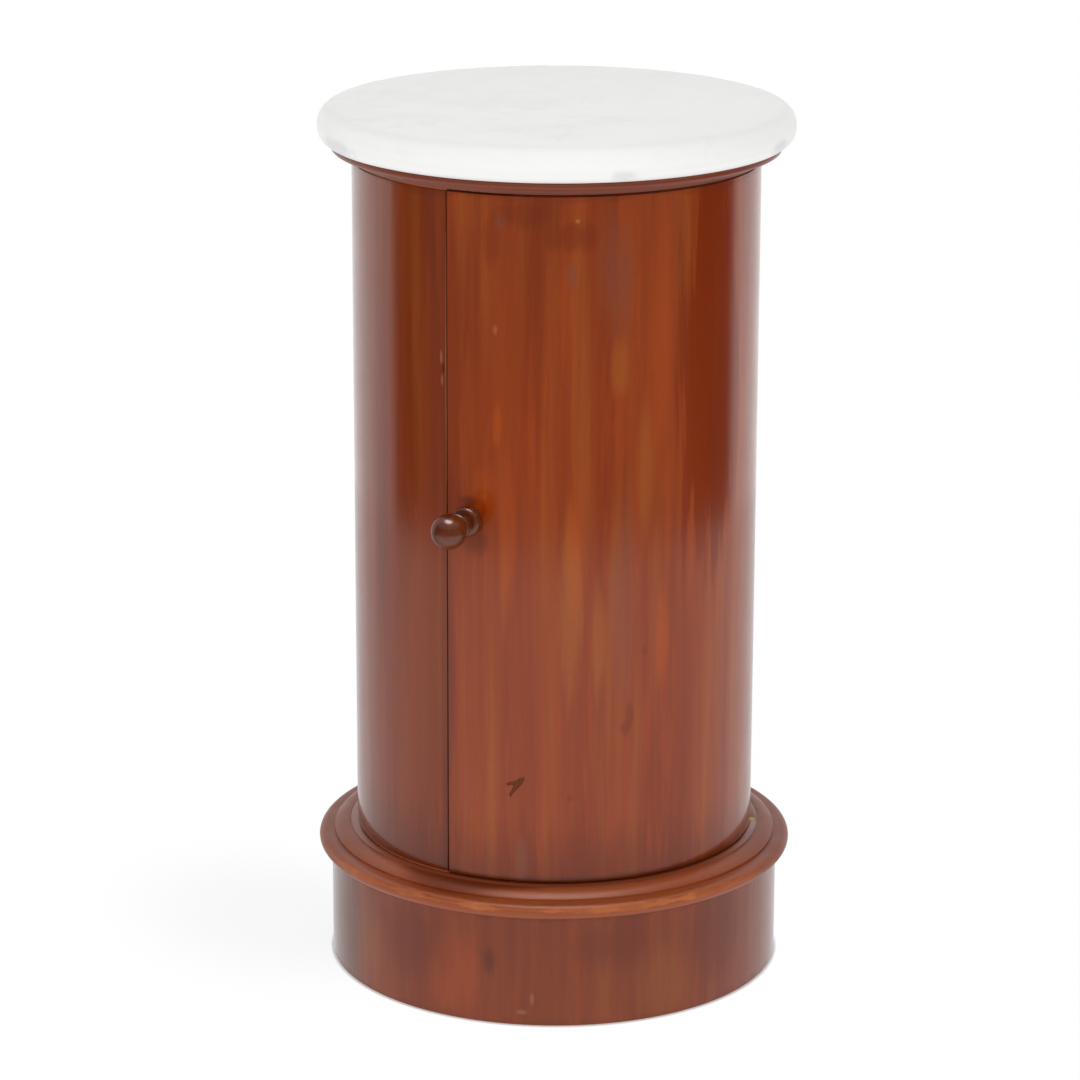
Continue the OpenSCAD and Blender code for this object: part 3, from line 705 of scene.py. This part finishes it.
def worn_shaded_and_highlit_nose(place, spot, tone, rough):
    """The nose's polish is rubbed through at the front and left, with a painted highlight along the crest; painted
    shade lies in the quirk, dirt and painted shade round the case's foot, and painted shade on the sides, which are
    also duller than the front. Returns the share of polish last."""
    azimuth, radius = spot["Azimuth"], spot["Radius"]
    out = radius - (NOSE_REACH - NOSE_RADIUS)
    up = spot["Height"] - (PLINTH_HIGH + NOSE_RADIUS)
    crown = edge_wear_and_shade(abs(worked("ARCTAN2", up, out) - math.radians(25.0)), 0.5, place, 0.03)
    outside = between(out, -1.0 * MM, 0.5 * MM)
    front = soft_mark(azimuth, 0.0, (-40.0, 0.0), (62.0, 1.0), 0.35)
    broken = between(noise(place, 28.0, 2.0), 0.4, 0.6, 0.4, 1.0)
    # the crest: rubbed wear with a painted highlight along its front
    rubbed_and_highlit = crown * outside * (front * broken)
    tone = mixed(rubbed_and_highlit * 0.85, tone, RUBBED_AND_HIGHLIT_WOOD)
    # painted shade in the quirk, and dirt with painted shade in the crevice round the case's foot
    quirk = edge_wear_and_shade(abs(radius - (OVOLO_FOOT + OVOLO_WIDTH)), 2.2 * MM, place, 0.02)
    foot = radius - CASE_RADIUS
    corner = edge_wear_and_shade(foot, 7.0 * MM, place, 0.05)
    settled_dirt_and_shade = soft_mark(azimuth, foot, (-50.0, 5 * MM), (16.0, 9 * MM), 0.5)
    tone = mixed(settled_dirt_and_shade * 0.6, tone, BLACK_WOOD)
    lip = soft_mark(azimuth, foot, (-57.0, 0.0), (17.0, 24 * MM), 0.3)
    grime_and_shade = largest(corner, settled_dirt_and_shade, lip)
    unworn = between(rubbed_and_highlit, 0.0, 1.0, 0.65, 0.0)
    tone = mixed(largest(quirk * 0.1, grime_and_shade) * unworn, tone, DEEP_WOOD)
    # painted shade on the sides away from the front
    side = between(abs(azimuth - VIEW_AZIMUTH), 42.0, 78.0)
    tone = mixed(side * 0.5, tone, DEEP_WOOD)
    return tone, rough + rubbed_and_highlit * 0.05, spread(grime_and_shade, 1.0, 0.45) * spread(side, 0.92, 0.55)


def turned_mahogany_finish():
    """The knob's dark wood, with its grain along the knob's own axis and its polish thin at the rim."""
    finish, shader, place = new_finish("dark_turned_mahogany")
    own = put("Mapping", {"Vector": place, "Rotation": (0.0, 0.0, -math.radians(KNOB_AZIMUTH))})
    across, along, depth = parts_of(own)
    grain = grain_of(across, along, 4.0, 0.002, 0.012, 0.002, depth)
    tone = mixed(grain["Bands"], rgb(78, 30, 8), rgb(112, 50, 18))
    tone = mixed(grain["Pores"] * 0.5, tone, BLACK_WOOD)
    tone = mixed(scratches(place, 0.008, 0.003, 0.2) * 0.3, tone, LIGHT_WOOD)
    rim = put("LayerWeight", {"Blend": 0.5}, "Facing", place.tree)
    feed(shader, {"Base Color": tone, "Roughness": spread(mottle(place, 0.012), 0.24, 0.34),
                  "Coat Weight": between(rim, 0.2, 0.5, 0.8, 0.02), "Coat Roughness": 0.2, "Coat IOR": 1.65,
                  "Specular IOR Level": 0.25, "Specular Tint": rgb(255, 176, 144),
                  "Normal": relief(grain["Pores"] * -1.0, 0.03 * MM)})
    return finish


# grey marks on the marble's edge, a stain at the front and painted shade low on both sides: (azimuth, height, half
# width, half height, share)
MARBLE_STAINS_AND_SHADE = [
    (-12.8, 0.7175, 2.6, 0.004, 0.28),
    (-93.0, 0.719, 8.0, 0.007, 0.3),
    (38.0, 0.719, 4.0, 0.006, 0.3),
]


def marble_finish():
    """White marble with soft grey clouds, a few thin veins and a honed face."""
    finish, shader, place = new_finish("white_marble")
    cloud = mottle(place, 0.11, 0.0)
    fine = mottle(place, 0.012, 0.2)
    warp = noise(place, 9.0, 4.0, 0.6)
    warped = put("VectorMath", {0: place, 1: together(warp, warp, warp),
                                2: together(warp * 0.25, warp * -0.18, 0.0)}, operation="MULTIPLY_ADD")
    vein = between(abs(noise(warped, 4.5, 2.0) - 0.5), 0.0, 0.03, 1.0, 0.0) * mottle(place, 0.07, 0.6)
    tone = mixed(cloud * 0.5, rgb(244, 244, 242), rgb(234, 234, 232))
    tone = mixed(fine * 0.2, tone, rgb(234, 233, 228))
    tone = mixed(vein * 0.14, tone, rgb(200, 201, 200))
    # painted shade on the shoulder, and a painted lighter band on the edge below it
    spot = use(ROUND_PLACE, {"Place": place})
    azimuth, height, radius = spot["Azimuth"], spot["Height"], spot["Radius"]
    shoulder = (between(radius, MARBLE_RADIUS - 15 * MM, MARBLE_RADIUS - 6 * MM)
                * between(height, MARBLE_HIGH - 14 * MM, MARBLE_HIGH - 6 * MM))
    tone = mixed(shoulder * 0.32, tone, rgb(212, 212, 210))
    tone = mixed(between(height, MARBLE_HIGH - 10 * MM, MARBLE_HIGH - 17 * MM) * 0.7, tone, rgb(252, 252, 251))
    edge = between(radius, MARBLE_RADIUS - 14 * MM, MARBLE_RADIUS - 6 * MM)
    for centre, level, half_width, half_height, share in MARBLE_STAINS_AND_SHADE:
        stain_and_shade = soft_mark(azimuth, height, (centre, level), (half_width, half_height), 0.6, fine)
        tone = mixed(stain_and_shade * edge * share, tone, rgb(176, 178, 180))
    feed(shader, {"Base Color": tone, "Roughness": spread(fine, 0.4, 0.48), "Specular IOR Level": 0.08,
                  "Normal": relief(fine, 0.02 * MM)})
    return finish


def pine_finish(name, upright):
    """Bare old pine, brown with age.

    The grain of staves is upright and their edges that show are stained. The rest runs along X.
    """
    finish, shader, place = new_finish(name)
    spot = use(ROUND_PLACE, {"Place": place})
    azimuth, radius = spot["Azimuth"], spot["Radius"]
    x, y, z = parts_of(place)
    if upright:
        number = worked("FLOOR", (azimuth + 360.0) / 20.0)
        across, along, depth = spot["Around"], z, radius
    else:
        number = worked("FLOOR", y / 0.09)
        across, along, depth = y, x, z
    luck = put("TexWhiteNoise", {"W": number}, "Value", noise_dimensions="1D")
    shift = luck * 40.0
    grain = grain_of(across, along, shift, 0.010, 0.011, 0.003, depth)
    tone = mixed(grain["Bands"], rgb(196, 158, 112), rgb(164, 112, 66))
    tone = mixed(grain["Streaks"] * 0.4, tone, rgb(150, 100, 58))
    tone = mixed(luck * 0.35, tone, rgb(140, 92, 54))
    knots = put("TexVoronoi", {"Vector": together(across * 14.0, along * 5.0, shift), "Scale": 1.0}, "Distance")
    tone = mixed(between(knots, 0.03, 0.09, 0.8, 0.0), tone, rgb(92, 52, 28))
    tone = mixed(mottle(place, 0.06, 0.4) * 0.3, tone, rgb(104, 72, 48))
    if upright:
        # the jambs and the ends that show were stained to match the veneer
        aside = abs(azimuth)
        jamb = between(abs(aside - DOOR_HALF), 1.6, 2.4, 1.0, 0.0)
        outer = between(radius, CASE_RADIUS - 21.5 * MM, CASE_RADIUS - 19 * MM)
        ends = between(worked("MINIMUM", z - BASE_TOP, CASE_TOP - z), 2.2 * MM, 3.0 * MM, 1.0, 0.0)
        front = between(aside, DOOR_HALF + 0.3, DOOR_HALF + 1.0, 1.0, 0.0)
        rim = between(radius, CASE_RADIUS - 8 * MM, CASE_RADIUS - 6 * MM)
        tone = mixed(jamb * outer * 0.92, tone, rgb(128, 55, 27))
        tone = mixed(ends * largest(front, rim) * 0.92, tone, rgb(184, 94, 56))
    feed(shader, {"Base Color": tone, "Roughness": spread(grain["Streaks"], 0.62, 0.8), "Specular IOR Level": 0.3,
                  "Normal": relief(grain["Bands"] + grain["Fibres"], 0.08 * MM)})
    return finish


def aged_metal_finish(name, bright, dull, dark, roughness):
    """Old metal: bright where it is rubbed, dull and spotted elsewhere."""
    finish, shader, place = new_finish(name)
    broad = mottle(place, 0.011, 0.2)
    spots = mottle(place, 0.0022, 0.8)
    scratch = scratches(place, 0.006, 0.012, 0.8)
    tone = mixed(broad, bright, dull)
    tone = mixed(spots * broad * 0.5, tone, dark)
    tone = mixed(scratch * 0.5, tone, bright)
    feed(shader, {"Base Color": tone, "Roughness": spread(broad, roughness, roughness + 0.22), "Metallic": 1.0,
                  "Normal": relief(spots * -0.4 - scratch, 0.03 * MM)})
    return finish


door_veneer = veneer_finish("door_mahogany_veneer", 2.0, DOOR_MARKS, DOOR_LOW, DOOR_HIGH,
                            (0.97, 0.97, 0.97, 1.0), chipped=True)
case_veneer = veneer_finish("case_mahogany_veneer", 9.0, CASE_MARKS, DOOR_LOW, DOOR_HIGH, (0.69, 0.67, 0.67, 1.0))
plinth_veneer = veneer_finish("plinth_mahogany_veneer", 17.0, PLINTH_MARKS, PLINTH_LOW, PLINTH_HIGH,
                              (0.72, 0.72, 0.72, 1.0))
moulding_mahogany = solid_mahogany_finish("moulding_mahogany", 5.0, rgb(156, 78, 38), 0.85, worn_shaded_and_highlit_nose)
board_mahogany = solid_mahogany_finish("board_mahogany", 12.0, rgb(112, 50, 28), 0.9)
lath_mahogany = veneer_finish("lath_mahogany", 25.0, [], BASE_TOP, CASE_TOP, (0.8, 0.75, 0.75, 1.0))
turned_mahogany = turned_mahogany_finish()
white_marble = marble_finish()
stave_pine = pine_finish("stave_pine", True)
board_pine = pine_finish("board_pine", False)
aged_brass = aged_metal_finish("aged_brass", rgb(200, 166, 96), rgb(142, 108, 56), rgb(70, 58, 34), 0.3)
dark_iron = aged_metal_finish("dark_iron", rgb(150, 146, 142), rgb(84, 78, 74), rgb(60, 38, 26), 0.4)


def finished(piece, body, material, node):
    """Gives a piece its material and its body, and hides the node that it stands for."""
    piece.data.materials.clear()
    piece.data.materials.append(material)
    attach(piece, body)
    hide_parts(node)


# ---------------------------------------------------------------------------
# Marble top

def make_marble():
    upper, lower = MARBLE_UPPER_ROUND, MARBLE_LOWER_ROUND
    slab = turned("marble_slab", [
        (0.0, MARBLE_LOW),
        *arc((MARBLE_RADIUS - lower, MARBLE_LOW + lower), lower, -90, 0, 8),
        *arc((MARBLE_RADIUS - upper, MARBLE_HIGH - upper), upper, 0, 90, 12),
        (0.0, MARBLE_HIGH)])
    finished(slab, "carcass", white_marble, "marble_top")


# ---------------------------------------------------------------------------
# Veneer skins

def skin_outline(radius, low, high):
    return [(radius - VENEER, low), (radius, low), (radius, high), (radius - VENEER, high)]


def outer_edge(radius):
    """Test for the middle of an edge: it lies on the outer face of a skin."""
    return lambda middle: middle.xy.length > radius - VENEER / 4


CHIP_AZIMUTH, CHIP_HEIGHT, CHIP_DEPTH = -39.4, 0.2035, 0.75 * MM
# corners of the chip, in millimetres to the right of its middle and above it
CHIP_CORNERS = [
    (7.4, 5.4), (6.6, 7.6), (3.0, 6.2), (-1.0, 3.4), (-5.2, 2.6), (-8.0, 0.6), (-7.0, -1.0), (-3.6, 0.2),
    (-1.6, -0.6), (-3.4, -4.2), (-5.4, -8.6), (-4.6, -11.0), (-2.4, -7.6), (1.4, -3.2), (5.2, 1.2),
]


def chip_out(skin):
    """Lifts a chip of veneer out of the door, from corners drawn on its face."""
    cutter = started("chip_cutter", bpy.ops.mesh.primitive_circle_add, vertices=len(CHIP_CORNERS), radius=1.0,
                     fill_type="NGON")
    edit(cutter)
    mesh = bmesh.from_edit_mesh(cutter.data)
    for vertex, (across, up) in zip(mesh.verts, CHIP_CORNERS):
        vertex.co = (across * MM, 0.0, up * MM)
    bmesh.update_edit_mesh(cutter.data)
    bpy.ops.mesh.select_all(action="SELECT")
    bpy.ops.mesh.extrude_region_move(TRANSFORM_OT_translate={"value": (0.0, -4 * MM, 0.0)})
    bpy.ops.object.mode_set(mode="OBJECT")
    set_down(cutter, swing(CHIP_AZIMUTH) @ Matrix.Translation((0.0, CHIP_DEPTH - CASE_RADIUS, CHIP_HEIGHT)))
    cut_out(skin, cutter)


def make_door_skin():
    """The door's veneer, eased at its free edge and rounded at its hinged one."""
    first = -DOOR_HALF + math.degrees(math.asin(LATCH_GAP / CASE_RADIUS))
    bare = CASE_RADIUS - VENEER
    # where the round of the hinged corner has taken the veneer's whole thickness
    feather = math.sqrt(PIVOT_DEPTH ** 2 - (bare - PIVOT_RADIUS) ** 2)
    last = PIVOT_AZIMUTH + math.degrees(math.asin(feather / bare)) - 0.05
    skin = turned("door_skin", skin_outline(CASE_RADIUS, DOOR_LOW, DOOR_HIGH), first, last - first, 120)
    ease_edges(skin, 0.4 * MM,
               where=lambda middle: outer_edge(CASE_RADIUS)(middle) and azimuth_of(middle) < last - 0.5)
    edit(skin)
    corner_cuts = 6
    widest = math.degrees(math.asin(feather / PIVOT_DEPTH))
    for cut in range(corner_cuts):
        out = outwards(PIVOT_AZIMUTH + widest * (cut + 0.5) / corner_cuts)
        bpy.ops.mesh.select_all(action="SELECT")
        bpy.ops.mesh.bisect(plane_co=Vector((*PIVOT, DOOR_LOW)) + out * PIVOT_DEPTH, plane_no=out,
                            use_fill=True, clear_outer=True, threshold=SAME_POINT / 10)
    chip_out(skin)
    close_and_smooth(skin)
    finished(skin, "door", door_veneer, "door_veneer")


def make_round_skin(name, radius, low, high, first, sweep, ease, steps, material, node):
    """The veneer of the case or the plinth, eased along its outer edges."""
    skin = turned(name, skin_outline(radius, low, high), first, sweep, 240)
    ease_edges(skin, ease, steps, outer_edge(radius))
    close_and_smooth(skin)
    finished(skin, "carcass", material, node)


# ---------------------------------------------------------------------------
# Base moulding, in six segments

def make_moulding():
    ovolo_end = math.degrees(math.acos(OVOLO_WIDTH / OVOLO_RADIUS))
    step = 360.0 / MOULDING_SEGMENTS
    first = turned("moulding_1", [
        (MOULDING_INNER, PLINTH_HIGH),
        *arc((NOSE_REACH - NOSE_RADIUS, PLINTH_HIGH + NOSE_RADIUS), NOSE_RADIUS, -90, 90, 14),
        (OVOLO_FOOT + OVOLO_WIDTH, PLINTH_HIGH + 2 * NOSE_RADIUS),
        *arc((OVOLO_FOOT, BASE_TOP - OVOLO_RADIUS), OVOLO_RADIUS, ovolo_end, 90, 10),
        (MOULDING_INNER, BASE_TOP)], DOOR_HALF, step, 60)
    ease_edges(first, 0.18 * MM)
    close_and_smooth(first)
    segments = [first] + [another(first, "moulding_%d" % number, swing(step * (number - 1)))
                          for number in range(2, MOULDING_SEGMENTS + 1)]
    for number, segment in enumerate(segments, 1):
        finished(segment, "carcass", moulding_mahogany, "moulding_segment_%d" % number)


# ---------------------------------------------------------------------------
# Turned knob

def make_knob():
    foot, neck = KNOB_PLAY, NECK_RADIUS
    step = COLLAR_REACH - COLLAR_ROUND / 3
    collar_middle = foot + 1.5 * COLLAR_ROUND
    collar_end = collar_middle + COLLAR_ROUND
    groove = BEAD_REACH - BEAD_ROUND
    ball_back = math.degrees(math.asin(groove / BALL_RADIUS))
    bead_middle = BALL_CENTRE - math.sqrt(BALL_RADIUS ** 2 - groove ** 2) - BEAD_ROUND
    bead_start = bead_middle - BEAD_ROUND
    knob = turned("turned_knob", [
        (0.0, BORE_END), (BORE_RADIUS, BORE_END), (BORE_RADIUS, foot),
        (step - 0.3 * MM, foot), (step, foot + 0.3 * MM), (step, foot + 1.7 * MM),
        (step - 0.3 * MM, foot + 2.0 * MM), (step - 1.2 * MM, foot + 2.1 * MM),
        *arc((COLLAR_REACH - COLLAR_ROUND, collar_middle), COLLAR_ROUND, -68, 92, 16),
        (neck + 0.5 * MM, collar_end + 0.5 * MM), (neck, collar_end + 1.6 * MM),
        (neck, bead_start - 1.5 * MM), (neck + 0.4 * MM, bead_start - 0.4 * MM), (neck + 1.5 * MM, bead_start),
        *arc((groove, bead_middle), BEAD_ROUND, -90, 84, 14),
        *arc((0.0, BALL_CENTRE), BALL_RADIUS, ball_back - 90 + 2, 90, 28)[:-1],
        (0.0, BALL_CENTRE + BALL_RADIUS)], steps=64)
    ease_edges(knob, 0.15 * MM, 1, sharpness=60.0)
    close_and_smooth(knob)
    seat = Vector((KNOB_AXIS.x, KNOB_AXIS.y, 0)) * CASE_RADIUS + Vector((0, 0, KNOB_HEIGHT))
    set_down(knob, Matrix.Translation(seat) @ swing(KNOB_AZIMUTH) @ swing(90, "X"))
    finished(knob, "catch", turned_mahogany, "knob")


# ---------------------------------------------------------------------------
# Slotted screws

def make_screw(name, length):
    """A countersunk screw with a worn slot, head up at the origin."""
    cone, edge = SCREW_HEAD - SCREW_SHANK, 0.15 * MM
    screw = turned(name, [(0.0, -length), (SCREW_SHANK, 2 * SCREW_SHANK - length), (SCREW_SHANK, -cone),
                          (SCREW_HEAD - edge, -edge), (SCREW_HEAD - 2 * edge, 0.0), (0.0, 0.0)], steps=32)
    cutter = started("slot_cutter", bpy.ops.mesh.primitive_cube_add, size=1.0)
    set_down(cutter, Matrix.Diagonal((3 * SCREW_HEAD, 0.8 * MM, 1.8 * MM, 1.0)))
    cut_out(screw, cutter)
    ease_edges(screw, 0.06 * MM, 1)
    close_and_smooth(screw)
    return screw


def at_pivot(height, turn, across, inwards, slot_turn, head_up):
    """Place of a screw in a pivot plate, measured from the pin."""
    return (Matrix.Translation((*PIVOT, height)) @ swing(PIVOT_AZIMUTH + turn)
            @ Matrix.Translation((across, inwards, 0.0)) @ swing(slot_turn)
            @ (Matrix.Identity(4) if head_up else swing(180, "X")))


def on_plate(plate, side, slot_turn):
    """Place of a screw above or below the middle of the keeper or the latch plate."""
    low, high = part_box(plate)
    towards_axis = Vector((-KNOB_AXIS.x, -KNOB_AXIS.y, 0.0))
    face = (low + high) / 2 + towards_axis * PLATE_THICKNESS[plate] / 2
    return (Matrix.Translation(face + Vector((0.0, 0.0, side * SCREW_ROW)))
            @ towards_axis.to_track_quat("Z", "Y").to_matrix().to_4x4() @ swing(slot_turn))


def make_screws():
    hinge_screw = make_screw("hinge_screw", HINGE_SCREW)
    catch_screw = make_screw("catch_screw", CATCH_SCREW)
    fixed = [at_pivot(height, 0.0, 0.0, inwards, slot_turn, height == BASE_TOP)
             for height, inwards, slot_turn in ((BASE_TOP, NEAR_SCREW, 25), (BASE_TOP, CASE_FAR_SCREW, -50),
                                                (CASE_TOP, NEAR_SCREW, 70), (CASE_TOP, CASE_FAR_SCREW, 10))]
    swung = [at_pivot(height, -DOOR_PLATE_TURN, -across, 0.0, slot_turn, height == DOOR_HIGH)
             for height, across, slot_turn in ((DOOR_LOW, NEAR_SCREW, 40), (DOOR_LOW, DOOR_FAR_SCREW, 5),
                                               (DOOR_HIGH, NEAR_SCREW, 80), (DOOR_HIGH, DOOR_FAR_SCREW, -20))]
    for name, body, hinge_places, plate, slot_turns in (
            ("carcass_screws", "carcass", fixed, "keeper_plate", (15, -65)),
            ("door_screws", "door", swung, "latch_plate", (55, 120))):
        pieces = [another(hinge_screw, "screw", place) for place in hinge_places]
        pieces += [another(catch_screw, "screw", on_plate(plate, side, slot_turn))
                   for side, slot_turn in zip((-1, 1), slot_turns)]
        finished(joined("slotted_" + name, pieces), body, dark_iron, name)
    throw_away(hinge_screw)
    throw_away(catch_screw)


make_marble()
make_door_skin()
make_round_skin("case_skin", CASE_RADIUS, DOOR_LOW, DOOR_HIGH, DOOR_HALF, 360.0 - 2 * DOOR_HALF,
                0.4 * MM, 2, case_veneer, "carcass_veneer")
make_round_skin("plinth_skin", PLINTH_RADIUS, PLINTH_LOW, PLINTH_HIGH, 180.0, 360.0,
                0.8 * MM, 3, plinth_veneer, "plinth_veneer")
make_moulding()
make_knob()
make_screws()

# ---------------------------------------------------------------------------
# Pieces that keep the construction model's shape, with their edges eased

EASE = {"pine": 0.45 * MM, "mahogany": 0.5 * MM, "brass": 0.25 * MM, "iron": 0.2 * MM}
FINISH = {"pine": board_pine, "mahogany": board_mahogany, "brass": aged_brass, "iron": dark_iron}
MODELLED = ("marble_top", "carcass_veneer", "door_veneer", "plinth_veneer", "knob", "carcass_screws", "door_screws")
body_of = {node: body for body, nodes in frame["record"]["behaviour"]["bodies"].items() for node in nodes}


def eased(node, ease, material):
    """Copies a piece of the construction model and eases the copy's edges."""
    take(frame["nodes"][node])
    bpy.ops.object.duplicate(linked=False)
    piece = bpy.context.object
    piece.name = "eased_" + node
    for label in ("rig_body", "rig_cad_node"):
        if label in piece:
            del piece[label]
    bpy.ops.object.parent_clear(type="CLEAR_KEEP_TRANSFORM")
    bpy.ops.object.transform_apply(location=True, rotation=True, scale=True)
    bpy.ops.mesh.customdata_custom_splitnormals_clear()
    edit(piece, action="SELECT")
    bpy.ops.mesh.remove_doubles(threshold=MM / 1000)
    bpy.ops.mesh.dissolve_limited(angle_limit=math.radians(0.2))
    bpy.ops.object.mode_set(mode="OBJECT")
    ease_edges(piece, ease, sharpness=30.0)
    close_and_smooth(piece)
    finished(piece, body_of[node], material, node)


for subpart in frame["record"]["subparts"]:
    name, slot = subpart["node"], subpart["material_slot"]
    if name in MODELLED or "moulding" in name:
        continue
    material = FINISH[slot]
    if "stave" in name:
        material = stave_pine
    if name == "closing_lath":
        material = lath_mahogany
    eased(name, EASE[slot], material)


# ---------------------------------------------------------------------------
# Floor, light and surroundings

WHITE = (1.0, 1.0, 1.0, 1.0)
FLOOR_BOUNCE = 1.0
FLOOR_SHINE = 0.85
ROOM_GLOW = 0.06
SWEEP_GLOW = 0.17
CEILING_GLOW = 0.45
OVERHEAD_GLOW = 6.0
FILL_LIGHT = 1.25


def make_floor():
    """White paper, with a painted shadow behind the cupboard, and a little darker where the plinth meets it."""
    floor = started("studio_floor", bpy.ops.mesh.primitive_circle_add, vertices=96, radius=1.55, fill_type="NGON")
    edit(floor, "FACE", "SELECT")
    bpy.ops.mesh.inset(thickness=0.3)
    bpy.ops.object.mode_set(mode="OBJECT")
    paper, shader, place = new_finish("studio_paper")
    tree = place.tree
    feed(shader, {"Base Color": mixed(mottle(place, 0.4, 0.0), rgb(244, 244, 244), rgb(240, 240, 240)),
                  "Roughness": 0.9, "Specular IOR Level": 0.1})
    level = spread(put("LightPath", {}, "Is Diffuse Ray", tree), FLOOR_SHINE, FLOOR_BOUNCE)
    bounce = put("Emission", {"Color": WHITE, "Strength": level})
    glow = put("Emission", {"Color": WHITE, "Strength": 1.0}, tree=tree)
    x, y, _ = parts_of(place)
    # a painted shadow on the paper behind and left of the cupboard
    painted_shadow = spread(soft_mark(x, y, (-0.19, 0.17), (0.10, 0.14), 0.6), 0.995, 0.88)
    off_foot = between(distance_of(x, y), PLINTH_RADIUS, PLINTH_RADIUS + 3 * MM, 0.35, 1.0)
    visible = put("MixShader", {0: painted_shadow * off_foot, 1: Value(shader.outputs[0]), 2: glow})
    surface = put("MixShader", {0: put("LightPath", {}, "Is Camera Ray", tree), 1: bounce, 2: visible})
    feed(tree.nodes["Material Output"], {"Surface": surface})
    floor.data.materials.append(paper)


def make_light(name, place, aim, width, depth, power):
    """A softbox that faces a point."""
    lamp = bpy.data.lights.new(name, "AREA")
    lamp.shape = "RECTANGLE"
    lamp.size = width
    lamp.size_y = depth
    lamp.energy = power
    holder = bpy.data.objects.new(name, lamp)
    bpy.context.scene.collection.objects.link(holder)
    facing = (Vector(aim) - Vector(place)).to_track_quat("-Z", "Y").to_matrix().to_4x4()
    holder.matrix_world = Matrix.Translation(place) @ facing


def make_surroundings():
    """White paper behind the cupboard, a dark room in front, and white for what the camera sees past the floor.

    A broad fill lights the front, and shows in no polished face.
    """
    world = bpy.data.worlds.new("studio")
    bpy.context.scene.world = world
    world.use_nodes = True
    tree = world.node_tree
    x, y, up = parts_of(put("TexCoord", {}, "Generated", tree))
    front = math.radians(VIEW_AZIMUTH)
    toward = x * math.sin(front) + y * -math.cos(front)
    aside = x * math.cos(front) + y * math.sin(front)
    turn = worked("DEGREES", worked("ARCTAN2", aside, toward))
    # what the polish mirrors: the paper's edges, the room between them, the ceiling and the light over it
    paper = largest(between(turn, 112.0, 124.0), between(turn, -98.0, -110.0))
    low = between(up, -0.05, 0.1, 1.0, 0.0)
    room = between(abs(turn), 70.0, 88.0, 1.0, 0.0) * between(low, 0.0, 1.0, ROOM_GLOW, SWEEP_GLOW)
    mirrored = largest(spread(paper, room, 1.0), between(up, 0.35, 0.7, 0.0, CEILING_GLOW))
    mirrored = mirrored + between(up, 0.905, 0.985, 0.0, OVERHEAD_GLOW)
    # what lights the wood: the front from below the ceiling, the paper behind and the floor
    lit = between(up, 0.5, 0.62, 1.0, 0.0) * between(abs(turn), 80.0, 110.0, 1.0, 0.0) * FILL_LIGHT
    fill = largest(lit, paper * between(up, 0.4, 0.6, 1.0, 0.1))
    fill = between(up, -0.03, 0.03, 1.0, fill, "LINEAR")
    strength = spread(put("LightPath", {}, "Is Diffuse Ray", tree), mirrored, fill)
    feed(tree.nodes["Background"], {
        "Color": WHITE, "Strength": largest(strength, put("LightPath", {}, "Is Camera Ray", tree))})


make_floor()
make_surroundings()
make_light("overhead_softbox", (-0.2, -0.35, 2.1), (0.0, 0.0, 0.4), 1.0, 0.75, 7.0)
bpy.context.scene.view_settings.view_transform = "Standard"
bpy.context.scene.view_settings.look = "None"
